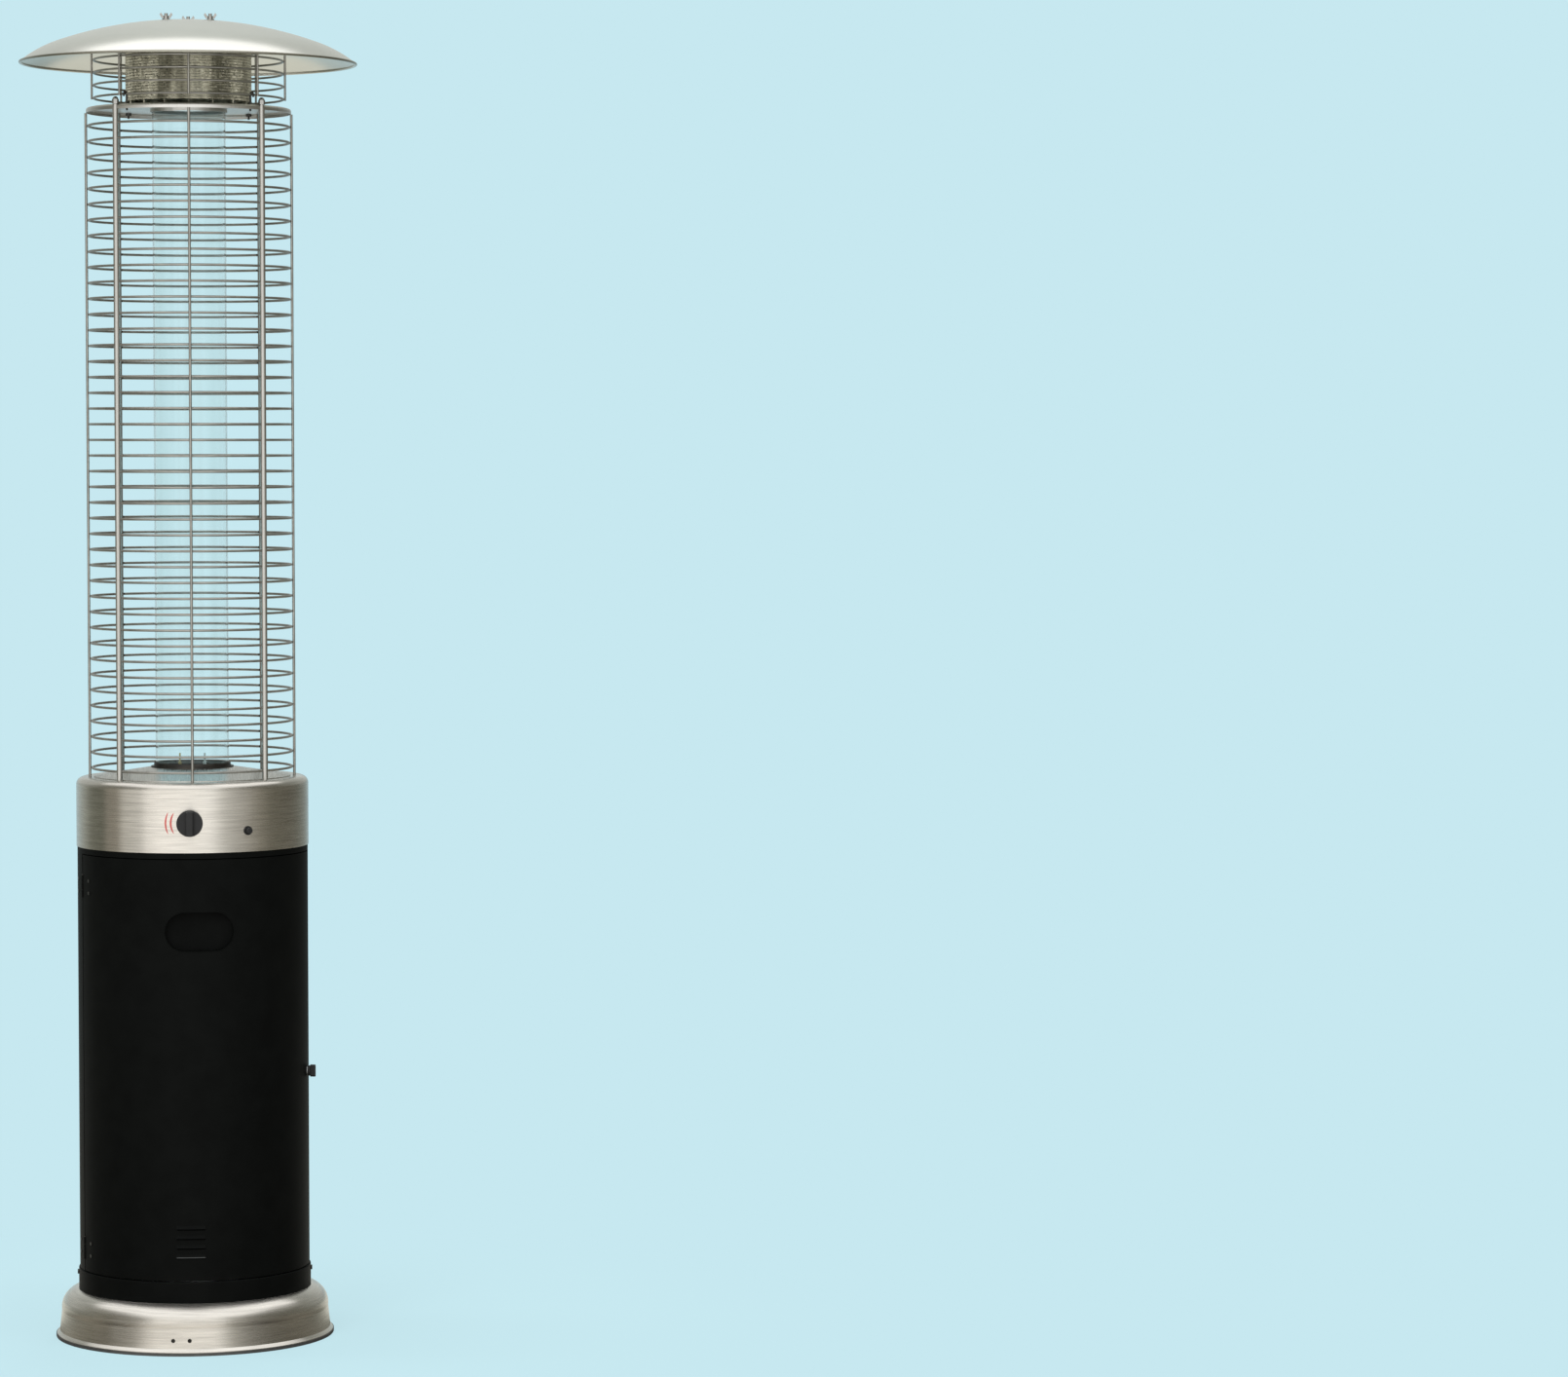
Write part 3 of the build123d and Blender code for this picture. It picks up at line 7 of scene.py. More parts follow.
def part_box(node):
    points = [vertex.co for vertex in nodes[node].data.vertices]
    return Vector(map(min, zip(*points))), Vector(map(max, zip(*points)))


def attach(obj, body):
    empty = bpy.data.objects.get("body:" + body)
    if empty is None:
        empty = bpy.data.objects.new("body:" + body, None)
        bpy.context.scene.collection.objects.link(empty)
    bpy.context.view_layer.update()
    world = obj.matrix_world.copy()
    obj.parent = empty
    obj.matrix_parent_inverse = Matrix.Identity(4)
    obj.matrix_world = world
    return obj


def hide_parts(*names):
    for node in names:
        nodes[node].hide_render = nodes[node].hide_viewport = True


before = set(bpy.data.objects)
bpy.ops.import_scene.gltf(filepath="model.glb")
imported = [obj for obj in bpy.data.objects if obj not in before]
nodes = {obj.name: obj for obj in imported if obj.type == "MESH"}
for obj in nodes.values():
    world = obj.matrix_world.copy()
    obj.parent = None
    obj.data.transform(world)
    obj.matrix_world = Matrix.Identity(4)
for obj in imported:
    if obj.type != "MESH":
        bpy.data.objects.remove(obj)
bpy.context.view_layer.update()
print("frame loaded with", len(nodes), "nodes")


# small helpers for selecting, turning and finishing pieces

turning = {"seed": 0.001, "mergeGap": 0.00002}


def clearSelection():
    if bpy.context.object and bpy.context.object.mode != "OBJECT":
        bpy.ops.object.mode_set(mode="OBJECT")
    bpy.ops.object.select_all(action="DESELECT")


def pickOnly(piece):
    clearSelection()
    piece.select_set(True)
    bpy.context.view_layer.objects.active = piece


def applyPlace(piece):
    pickOnly(piece)
    bpy.ops.object.transform_apply(location=True, rotation=True, scale=True)


def applyModifiers(piece):
    pickOnly(piece)
    for modifier in list(piece.modifiers):
        bpy.ops.object.modifier_apply(modifier=modifier.name)


def smoothByAngle(piece, angle):
    pickOnly(piece)
    bpy.ops.object.shade_smooth_by_angle(angle=radians(angle))


def finishPiece(piece, material, body, replaced=()):
    piece.data.materials.clear()
    piece.data.materials.append(material)
    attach(piece, body)
    if replaced:
        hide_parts(*replaced)


def turnProfile(name, profile, steps):
    # one vertex is extruded along the profile, and the profile is spun round the heater's axis
    clearSelection()
    bpy.ops.mesh.primitive_plane_add(size=turning["seed"], location=(0, 0, 0))
    piece = bpy.context.object
    piece.name = name
    bpy.ops.object.mode_set(mode="EDIT")
    bpy.ops.mesh.select_mode(type="VERT")
    bpy.ops.mesh.select_all(action="SELECT")
    bpy.ops.mesh.merge(type="CENTER")
    bpy.ops.transform.translate(value=(profile[0][0], 0, profile[0][1]))
    for (fromX, fromZ), (toX, toZ) in zip(profile, profile[1:]):
        step = {"value": (toX - fromX, 0, toZ - fromZ)}
        bpy.ops.mesh.extrude_region_move(TRANSFORM_OT_translate=step)
    bpy.ops.mesh.select_all(action="SELECT")
    bpy.ops.mesh.spin(steps=steps, angle=2 * pi, center=(0, 0, 0), axis=(0, 0, 1))
    bpy.ops.mesh.select_all(action="SELECT")
    bpy.ops.mesh.remove_doubles(threshold=turning["mergeGap"])
    bpy.ops.mesh.normals_make_consistent(inside=False)
    bpy.ops.object.mode_set(mode="OBJECT")
    return piece


# camera: straight in front of the heater, which stands at the left of the frame

cameraPlace = {
    "distance": 8.36,
    "height": 1.468,
    "yaw": 6.64,
    "pitch": 2.823,
    "focalPixels": 5228.0,
    "frameWidth": 1610.0,
    "sensor": 36.0,
}


def makeCamera(place):
    data = bpy.data.cameras.new("frontCamera")
    camera = bpy.data.objects.new("frontCamera", data)
    bpy.context.scene.collection.objects.link(camera)
    data.sensor_width = place["sensor"]
    data.lens = place["focalPixels"] / place["frameWidth"] * place["sensor"]
    camera.location = (0, -place["distance"], place["height"])
    camera.rotation_euler = (radians(90 - place["pitch"]), 0, -radians(place["yaw"]))
    bpy.context.scene.camera = camera


makeCamera(cameraPlace)
print("camera set")


# studio: backdrop colour, a ring of reflections round the heater, floor and soft lamps

backdropColour = (0.571, 0.807, 0.871, 1)
studioRing = [
    (-180, (0.50, 0.66, 0.71)),
    (-150, (0.44, 0.50, 0.49)),
    (-134, (0.34, 0.36, 0.32)),
    (-120, (0.13, 0.135, 0.10)),
    (-100, (0.10, 0.105, 0.075)),
    (-94, (0.30, 0.275, 0.23)),
    (-80, (0.34, 0.31, 0.26)),
    (-73, (0.86, 0.84, 0.78)),
    (-54, (1.06, 1.04, 0.99)),
    (-46, (1.66, 1.62, 1.57)),
    (16, (1.54, 1.53, 1.50)),
    (30, (1.00, 0.99, 0.95)),
    (56, (0.58, 0.56, 0.51)),
    (70, (0.30, 0.28, 0.23)),
    (84, (0.14, 0.13, 0.095)),
    (112, (0.10, 0.09, 0.065)),
    (126, (0.12, 0.12, 0.095)),
    (148, (0.26, 0.29, 0.27)),
    (180, (0.50, 0.66, 0.71)),
]
upperRing = [
    (-180, (0.64, 0.67, 0.64)),
    (-130, (0.46, 0.47, 0.44)),
    (-100, (0.22, 0.22, 0.18)),
    (-72, (0.16, 0.15, 0.12)),
    (-50, (0.26, 0.25, 0.21)),
    (-34, (1.06, 1.04, 0.99)),
    (20, (1.06, 1.05, 1.01)),
    (34, (0.36, 0.35, 0.30)),
    (50, (0.12, 0.115, 0.09)),
    (100, (0.18, 0.18, 0.15)),
    (130, (0.34, 0.35, 0.32)),
    (180, (0.64, 0.67, 0.64)),
]
floorRing = [
    (-180, (0.76, 0.76, 0.68)),
    (-126, (0.70, 0.70, 0.62)),
    (-108, (0.20, 0.20, 0.17)),
    (-84, (0.34, 0.31, 0.25)),
    (-56, (0.10, 0.095, 0.075)),
    (-40, (0.24, 0.22, 0.18)),
    (-26, (0.92, 0.88, 0.80)),
    (12, (0.92, 0.88, 0.81)),
    (24, (0.30, 0.29, 0.25)),
    (44, (0.06, 0.055, 0.045)),
    (76, (0.22, 0.20, 0.16)),
    (108, (0.16, 0.16, 0.13)),
    (126, (0.70, 0.70, 0.62)),
    (180, (0.76, 0.76, 0.68)),
]
ceilingPanel = {
    "colour": (1.45, 1.45, 1.44, 1),
    "back": (0.87, 0.77),
    "side": (1.5, 0.8),
    "low": (0.42, 0.62),
}
ringRise = (0.0, 0.16)  # heights between which the lower ring gives way to the upper one
leastRise = 0.05  # keeps the panel's edges finite near the horizon
floorLook = {
    "radius": 3.2,
    "sides": 96,
    "shadowInner": 0.35,
    "shadowOuter": 1.1,
    "shadowShare": 0.30,
    "shadowTint": 0.70,
    "nearRing": (3.2, 2.0),
    "bounce": (0.76, 0.76, 0.68, 1),
}
lamps = {
    "frontSoftbox": {"place": (-1.9, -4.2, 2.6), "aim": (0, 0, 1.2), "size": (1.6, 2.4), "power": 70},
    "rightSoftbox": {"place": (3.4, -3.0, 2.2), "aim": (0, 0, 1.1), "size": (1.2, 2.2), "power": 35},
    "leftSoftbox": {"place": (-3.6, 1.0, 2.2), "aim": (0, 0, 1.1), "size": (1.2, 2.2), "power": 32},
    "rearSoftbox": {"place": (1.4, 4.2, 2.4), "aim": (0, 0, 1.1), "size": (1.6, 2.2), "power": 48},
    "ceilingSoftbox": {"place": (0, -0.6, 4.6), "aim": (0, 0, 1.5), "size": (3.0, 3.0), "power": 60},
}


def addNode(tree, kind, inputs=None, **settings):
    node = tree.nodes.new(kind)
    for key, value in settings.items():
        setattr(node, key, value)
    for key, value in (inputs or {}).items():
        if isinstance(value, bpy.types.NodeSocket):
            tree.links.new(value, node.inputs[key])
        else:
            node.inputs[key].default_value = value
    return node


def fillRamp(ramp, stops):
    while len(ramp.elements) < len(stops):
        ramp.elements.new(1.0)
    for element, (position, colour) in zip(ramp.elements, stops):
        element.position = position
        element.color = (*colour[:3], 1)


def softStep(tree, value, edges):
    # 0 at the first edge, 1 at the second
    inputs = {"Value": value, "From Min": edges[0], "From Max": edges[1]}
    return addNode(tree, "ShaderNodeMapRange", inputs, interpolation_type="SMOOTHSTEP").outputs["Result"]


def mathNode(tree, operation, first, second=0.0):
    return addNode(tree, "ShaderNodeMath", {0: first, 1: second}, operation=operation).outputs[0]


def blendColours(tree, share, first, second):
    node = addNode(tree, "ShaderNodeMix", data_type="RGBA")
    tree.links.new(share, node.inputs["Factor"])
    for key, colour in (("A", first), ("B", second)):
        if isinstance(colour, bpy.types.NodeSocket):
            tree.links.new(colour, node.inputs[key])
        else:
            node.inputs[key].default_value = colour
    return node.outputs["Result"]


def turnRamp(tree, parts, stops):
    # colour by the turn about the heater's axis, 0 at the front
    front = mathNode(tree, "MULTIPLY", parts.outputs["Y"], -1.0)
    turn = mathNode(tree, "ARCTAN2", parts.outputs["X"], front)
    share = addNode(tree, "ShaderNodeMapRange", {"Value": turn, "From Min": -pi, "From Max": pi})
    ring = addNode(tree, "ShaderNodeValToRGB", {0: share.outputs["Result"]})
    fillRamp(ring.color_ramp, [((turned + 180) / 360, colour) for turned, colour in stops])
    return ring.outputs["Color"]


def seenDirectly(tree):
    # 1 for what the camera sees, also through glass
    path = addNode(tree, "ShaderNodeLightPath")
    return mathNode(tree, "MAXIMUM", path.outputs["Is Camera Ray"], path.outputs["Is Transmission Ray"])


def makeWorld():
    world = bpy.data.worlds.new("studioWorld")
    bpy.context.scene.world = world
    world.use_nodes = True
    tree = world.node_tree
    tree.nodes.clear()
    direction = addNode(tree, "ShaderNodeTexCoord").outputs["Generated"]
    parts = addNode(tree, "ShaderNodeSeparateXYZ", {0: direction})
    height = mathNode(tree, "MAXIMUM", parts.outputs["Z"], leastRise)
    across = mathNode(tree, "ABSOLUTE", mathNode(tree, "DIVIDE", parts.outputs["X"], height))
    behind = mathNode(tree, "DIVIDE", parts.outputs["Y"], height)
    panel = softStep(tree, behind, ceilingPanel["back"])
    panel = mathNode(tree, "MULTIPLY", panel, softStep(tree, across, ceilingPanel["side"]))
    panel = mathNode(tree, "MULTIPLY", panel, softStep(tree, parts.outputs["Z"], ceilingPanel["low"]))
    rise = softStep(tree, parts.outputs["Z"], ringRise)
    studio = blendColours(tree, rise, turnRamp(tree, parts, studioRing), turnRamp(tree, parts, upperRing))
    studio = blendColours(tree, panel, studio, ceilingPanel["colour"])
    shown = blendColours(tree, seenDirectly(tree), studio, backdropColour)
    light = addNode(tree, "ShaderNodeBackground", {"Color": shown, "Strength": 1.0})
    addNode(tree, "ShaderNodeOutputWorld", {"Surface": light.outputs[0]})


def makeFloor(look):
    clearSelection()
    bpy.ops.mesh.primitive_circle_add(vertices=look["sides"], radius=look["radius"], fill_type="NGON")
    floor = bpy.context.object
    floor.name = "studioFloor"
    material = bpy.data.materials.new("studioFloor")
    material.use_nodes = True
    tree = material.node_tree
    tree.nodes.clear()
    place = addNode(tree, "ShaderNodeTexCoord").outputs["Object"]
    reach = addNode(tree, "ShaderNodeVectorMath", {0: place}, operation="LENGTH").outputs["Value"]
    near = softStep(tree, reach, (look["shadowOuter"], look["shadowInner"]))
    near = mathNode(tree, "MULTIPLY", near, look["shadowShare"])
    shade = [channel * look["shadowTint"] for channel in backdropColour[:3]]
    painted = addNode(tree, "ShaderNodeBsdfDiffuse", {"Color": (*shade, 1)})
    glow = addNode(tree, "ShaderNodeEmission", {"Color": backdropColour, "Strength": 1.0})
    shown = addNode(tree, "ShaderNodeMixShader", {0: near, 1: glow.outputs[0], 2: painted.outputs[0]})
    parts = addNode(tree, "ShaderNodeSeparateXYZ", {0: place})
    close = softStep(tree, reach, look["nearRing"])
    lit = blendColours(tree, close, look["bounce"], turnRamp(tree, parts, floorRing))
    bounce = addNode(tree, "ShaderNodeEmission", {"Color": lit, "Strength": 1.0})
    mixed = addNode(
        tree, "ShaderNodeMixShader", {0: seenDirectly(tree), 1: bounce.outputs[0], 2: shown.outputs[0]}
    )
    addNode(tree, "ShaderNodeOutputMaterial", {"Surface": mixed.outputs[0]})
    floor.data.materials.append(material)


def makeLamp(name, look):
    data = bpy.data.lights.new(name, "AREA")
    data.shape = "RECTANGLE"
    data.size, data.size_y = look["size"]
    data.energy = look["power"]
    lamp = bpy.data.objects.new(name, data)
    bpy.context.scene.collection.objects.link(lamp)
    lamp.location = look["place"]
    towards = [aim - place for aim, place in zip(look["aim"], look["place"])]
    lamp.rotation_euler = Vector(towards).to_track_quat("-Z", "Y").to_euler()
    # metal shows the studio ring instead, and the tube the backdrop
    lamp.visible_glossy = False
    lamp.visible_transmission = False


makeWorld()
makeFloor(floorLook)
for lampName, lampLook in lamps.items():
    makeLamp(lampName, lampLook)
bpy.context.scene.view_settings.view_transform = "Standard"
print("studio set")


# finishes

brushTurn = 0.25  # brushed round the axis, so the blur stands upright
noiseSpan = (0.3, 0.7)  # the noise values that a spread reaches from and to


def startMaterial(name, look):
    material = bpy.data.materials.new(name)
    material.use_nodes = True
    tree = material.node_tree
    shader = tree.nodes["Principled BSDF"]
    shader.inputs["Metallic"].default_value = look.get("metallic", 0.0)
    shader.inputs["Roughness"].default_value = look["roughness"]
    shader.inputs["Base Color"].default_value = (*look["colour"], 1)
    shader.inputs["Specular IOR Level"].default_value = look.get("specular", 0.5)
    if "brushed" in look:
        shader.inputs["Anisotropic"].default_value = look["brushed"]
        shader.inputs["Anisotropic Rotation"].default_value = brushTurn
        tangent = addNode(tree, "ShaderNodeTangent", direction_type="RADIAL", axis="Z")
        tree.links.new(tangent.outputs[0], shader.inputs["Tangent"])
    place = addNode(tree, "ShaderNodeTexCoord").outputs["Object"]
    return material, tree, shader, place


def grainNoise(tree, place, scale, detail=3.0):
    mapping = addNode(tree, "ShaderNodeMapping", {"Vector": place, "Scale": scale})
    return addNode(
        tree, "ShaderNodeTexNoise", {"Vector": mapping.outputs[0], "Scale": 1.0, "Detail": detail}
    ).outputs["Fac"]


def axisReach(tree, place):
    # distance from the heater's axis
    parts = addNode(tree, "ShaderNodeSeparateXYZ", {0: place})
    flat = addNode(tree, "ShaderNodeCombineXYZ", {0: parts.outputs["X"], 1: parts.outputs["Y"]})
    return addNode(tree, "ShaderNodeVectorMath", {0: flat.outputs[0]}, operation="LENGTH").outputs["Value"]


def turnedRings(tree, place, scale):
    # fine circles about the heater's axis, as on spun or turned metal
    return addNode(
        tree,
        "ShaderNodeTexNoise",
        {"W": axisReach(tree, place), "Scale": scale, "Detail": 2.0},
        noise_dimensions="1D",
    ).outputs["Fac"]


def spreadRoughness(tree, shader, noise, look):
    spread = addNode(
        tree,
        "ShaderNodeMapRange",
        {
            "Value": noise,
            "From Min": noiseSpan[0],
            "From Max": noiseSpan[1],
            "To Min": look["roughness"] - look["roughnessSpread"],
            "To Max": look["roughness"] + look["roughnessSpread"],
        },
    )
    tree.links.new(spread.outputs["Result"], shader.inputs["Roughness"])


def colourRamp(tree, noise, stops):
    ramp = addNode(tree, "ShaderNodeValToRGB", {0: noise})
    fillRamp(ramp.color_ramp, stops)
    return ramp.outputs["Color"]


def spreadColour(tree, noise, look):
    dark = [channel * (1 - look["colourSpread"]) for channel in look["colour"]]
    light = [min(1.0, channel * (1 + look["colourSpread"])) for channel in look["colour"]]
    return colourRamp(tree, noise, list(zip(noiseSpan, (dark, light))))


def setColour(tree, shader, colour):
    tree.links.new(colour, shader.inputs["Base Color"])


def raiseBump(tree, shader, height, depth):
    bump = addNode(tree, "ShaderNodeBump", {"Height": height, "Strength": 1.0, "Distance": depth})
    tree.links.new(bump.outputs["Normal"], shader.inputs["Normal"])


def grainedMaterial(name, look):
    # colour follows a broad grain, roughness and relief a fine one
    material, tree, shader, place = startMaterial(name, look)
    fine = grainNoise(tree, place, look["fineGrain"])
    setColour(tree, shader, spreadColour(tree, grainNoise(tree, place, look["broadGrain"]), look))
    spreadRoughness(tree, shader, fine, look)
    raiseBump(tree, shader, fine, look["relief"])
    return material


grainedLooks = {
    "brushedSteel": {
        "colour": (0.62, 0.595, 0.55), "metallic": 1.0, "roughness": 0.27, "roughnessSpread": 0.04,
        "brushed": 0.82, "colourSpread": 0.13, "broadGrain": (16, 16, 380), "fineGrain": (9, 9, 1500),
        "relief": 0.00001,
    },
    "deckSteel": {
        "colour": (0.60, 0.59, 0.56), "metallic": 1.0, "roughness": 0.30, "roughnessSpread": 0.05,
        "colourSpread": 0.08, "broadGrain": (160, 9, 9), "fineGrain": (1400, 9, 9), "relief": 0.00002,
    },
    "plateSteel": {
        "colour": (0.62, 0.615, 0.59), "metallic": 1.0, "roughness": 0.32, "roughnessSpread": 0.05,
        "colourSpread": 0.08, "broadGrain": (12, 12, 60), "fineGrain": (900, 9, 9), "relief": 0.00001,
    },
    "powderBlack": {
        "colour": (0.0036, 0.0041, 0.0039), "roughness": 0.50, "roughnessSpread": 0.05, "specular": 0.03,
        "colourSpread": 0.14, "broadGrain": (30, 30, 30), "fineGrain": (1300, 1300, 1300), "relief": 0.00004,
    },
    "wireSteel": {
        "colour": (0.36, 0.355, 0.33), "metallic": 1.0, "roughness": 0.38, "roughnessSpread": 0.06,
        "colourSpread": 0.14, "broadGrain": (40, 40, 40), "fineGrain": (700, 700, 700), "relief": 0.00002,
    },
    "postAluminium": {
        "colour": (0.48, 0.475, 0.45), "metallic": 1.0, "roughness": 0.34, "roughnessSpread": 0.05,
        "colourSpread": 0.06, "broadGrain": (250, 250, 6), "fineGrain": (1500, 1500, 12), "relief": 0.00002,
    },
    "knobPlastic": {
        "colour": (0.016, 0.0165, 0.0175), "roughness": 0.48, "roughnessSpread": 0.05, "specular": 0.25,
        "colourSpread": 0.10, "broadGrain": (90, 90, 90), "fineGrain": (2400, 2400, 2400), "relief": 0.00003,
    },
    "trimRubber": {
        "colour": (0.055, 0.056, 0.055), "roughness": 0.75, "roughnessSpread": 0.08, "specular": 0.3,
        "colourSpread": 0.15, "broadGrain": (60, 60, 60), "fineGrain": (1200, 1200, 1200), "relief": 0.00005,
    },
    "screwSteel": {
        "colour": (0.40, 0.40, 0.385), "metallic": 1.0, "roughness": 0.32, "roughnessSpread": 0.06,
        "colourSpread": 0.08, "broadGrain": (200, 200, 200), "fineGrain": (2600, 2600, 2600),
        "relief": 0.00001,
    },
    "rivetSteel": {
        "colour": (0.085, 0.085, 0.082), "metallic": 1.0, "roughness": 0.42, "roughnessSpread": 0.06,
        "colourSpread": 0.15, "broadGrain": (200, 200, 200), "fineGrain": (2600, 2600, 2600),
        "relief": 0.00001,
    },
    "hookSteel": {
        "colour": (0.050, 0.048, 0.043), "metallic": 0.6, "roughness": 0.42, "roughnessSpread": 0.08,
        "colourSpread": 0.2, "broadGrain": (120, 120, 120), "fineGrain": (1500, 1500, 1500),
        "relief": 0.00002,
    },
    "valveBrass": {
        "colour": (0.68, 0.50, 0.24), "metallic": 1.0, "roughness": 0.30, "roughnessSpread": 0.06,
        "colourSpread": 0.10, "broadGrain": (60, 60, 60), "fineGrain": (1600, 1600, 1600), "relief": 0.00002,
    },
    "castStone": {
        "colour": (0.42, 0.41, 0.38), "roughness": 0.9, "roughnessSpread": 0.05, "colourSpread": 0.22,
        "broadGrain": (130, 130, 130), "fineGrain": (700, 700, 700), "relief": 0.0004,
    },
    "glazedCeramic": {
        "colour": (0.84, 0.82, 0.76), "roughness": 0.25, "roughnessSpread": 0.05, "colourSpread": 0.04,
        "broadGrain": (90, 90, 90), "fineGrain": (500, 500, 500), "relief": 0.00001,
    },
    "glassCloth": {
        "colour": (0.30, 0.29, 0.26), "roughness": 0.85, "roughnessSpread": 0.05, "colourSpread": 0.15,
        "broadGrain": (500, 500, 500), "fineGrain": (1700, 1700, 1700), "relief": 0.0001,
    },
}
finishes = {name: grainedMaterial(name, look) for name, look in grainedLooks.items()}


def zincMaterial():
    # zinc plating with its faint crystal pattern
    look = {
        "colour": (0.50, 0.52, 0.53), "metallic": 1.0, "roughness": 0.38, "crystals": 130.0,
        "tints": [(0.2, (0.44, 0.46, 0.47)), (0.8, (0.58, 0.60, 0.61))],
        "fineGrain": (900, 900, 900), "relief": 0.00002,
    }
    material, tree, shader, place = startMaterial("zincPlate", look)
    inputs = {"Vector": place, "Scale": look["crystals"]}
    crystals = addNode(tree, "ShaderNodeTexVoronoi", inputs).outputs["Color"]
    setColour(tree, shader, colourRamp(tree, crystals, look["tints"]))
    raiseBump(tree, shader, grainNoise(tree, place, look["fineGrain"]), look["relief"])
    return material


def domeMaterial():
    # satin aluminium, spun, with painted shade: a darker colour along its rolled edge
    look = {
        "colour": (0.76, 0.758, 0.71), "metallic": 1.0, "roughness": 0.23, "roughnessSpread": 0.03,
        "colourSpread": 0.03, "broadGrain": (9, 9, 9), "rings": 900.0, "relief": 0.00001,
        "edge": (0.2690, 0.2708), "edgeShadeColour": (0.36, 0.35, 0.30, 1),
    }
    material, tree, shader, place = startMaterial("domeAluminium", look)
    rings = turnedRings(tree, place, look["rings"])
    sheet = spreadColour(tree, grainNoise(tree, place, look["broadGrain"]), look)
    # painted shade: past this radius the colour turns darker, standing in for the shade in the groove of the
    # rolled edge
    edge = softStep(tree, axisReach(tree, place), look["edge"])
    setColour(tree, shader, blendColours(tree, edge, sheet, look["edgeShadeColour"]))
    spreadRoughness(tree, shader, rings, look)
    raiseBump(tree, shader, rings, look["relief"])
    return material


def glassMaterial():
    # clear tube, with a trace of draw lines along it
    look = {
        "colour": (0.985, 0.99, 0.985), "roughness": 0.0, "refraction": 1.28,
        "lines": (45, 45, 0.4), "lineDetail": 1.0,
        "tints": [(0.35, (0.93, 0.94, 0.93)), (0.65, (0.99, 0.995, 0.99))],
    }
    material, tree, shader, place = startMaterial("clearGlass", look)
    shader.inputs["Transmission Weight"].default_value = 1.0
    shader.inputs["IOR"].default_value = look["refraction"]
    lines = grainNoise(tree, place, look["lines"], look["lineDetail"])
    setColour(tree, shader, colourRamp(tree, lines, look["tints"]))
    return material


def screenMaterial():
    # heat-tinted steel: olive grey with darker upright blotches
    look = {
        "colour": (0.55, 0.53, 0.42), "metallic": 0.45, "roughness": 0.45, "roughnessSpread": 0.06,
        "patches": (30, 30, 5), "fineGrain": (300, 300, 60),
        "tints": [
            (0.34, (0.25, 0.24, 0.175)), (0.46, (0.56, 0.54, 0.42)), (0.60, (0.82, 0.80, 0.65)),
            (0.74, (0.42, 0.41, 0.32)),
        ],
    }
    material, tree, shader, place = startMaterial("screenSteel", look)
    setColour(tree, shader, colourRamp(tree, grainNoise(tree, place, look["patches"]), look["tints"]))
    spreadRoughness(tree, shader, grainNoise(tree, place, look["fineGrain"]), look)
    return material


scorchedGrain = {"sheen": (300, 300, 300), "scale": (800, 800, 800), "relief": 0.00004}


def scorchedMaterial(name, look):
    # steel browned and blued by the flame
    material, tree, shader, place = startMaterial(name, look)
    setColour(tree, shader, colourRamp(tree, grainNoise(tree, place, look["patches"]), look["tints"]))
    spreadRoughness(tree, shader, grainNoise(tree, place, scorchedGrain["sheen"]), look)
    raiseBump(tree, shader, grainNoise(tree, place, scorchedGrain["scale"]), scorchedGrain["relief"])
    return material


louvreLip = {
    "rise": 0.0374,
    "left": 0.0065,
    "above": (0.0016, 0.0016 / 3),
    "aside": (0.0245, 0.021),
    "reach": (0.1872, 0.1885),
    # colour of the painted highlight on the lowest louvre's lip
    "lipHighlightColour": (0.060, 0.064, 0.064, 1),
}


def doorMaterial(lip):
    # the housing's black coat, with a painted highlight along the lip of the lowest louvre
    look = grainedLooks["powderBlack"]
    material, tree, shader, place = startMaterial("doorBlack", look)
    parts = addNode(tree, "ShaderNodeSeparateXYZ", {0: place})
    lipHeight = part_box("door_panel")[0].z + lip["rise"]
    above = mathNode(tree, "ABSOLUTE", mathNode(tree, "SUBTRACT", parts.outputs["Z"], lipHeight))
    aside = mathNode(tree, "ABSOLUTE", mathNode(tree, "ADD", parts.outputs["X"], lip["left"]))
    # painted highlight: a lighter strip along the lowest louvre's lip, standing in for light caught on its
    # edge
    lipHighlight = softStep(tree, above, lip["above"])
    lipHighlight = mathNode(tree, "MULTIPLY", lipHighlight, softStep(tree, aside, lip["aside"]))
    lipHighlight = mathNode(tree, "MULTIPLY", lipHighlight, softStep(tree, axisReach(tree, place), lip["reach"]))
    sheet = spreadColour(tree, grainNoise(tree, place, look["broadGrain"]), look)
    setColour(tree, shader, blendColours(tree, lipHighlight, sheet, lip["lipHighlightColour"]))
    fine = grainNoise(tree, place, look["fineGrain"])
    spreadRoughness(tree, shader, fine, look)
    raiseBump(tree, shader, fine, look["relief"])
    return material


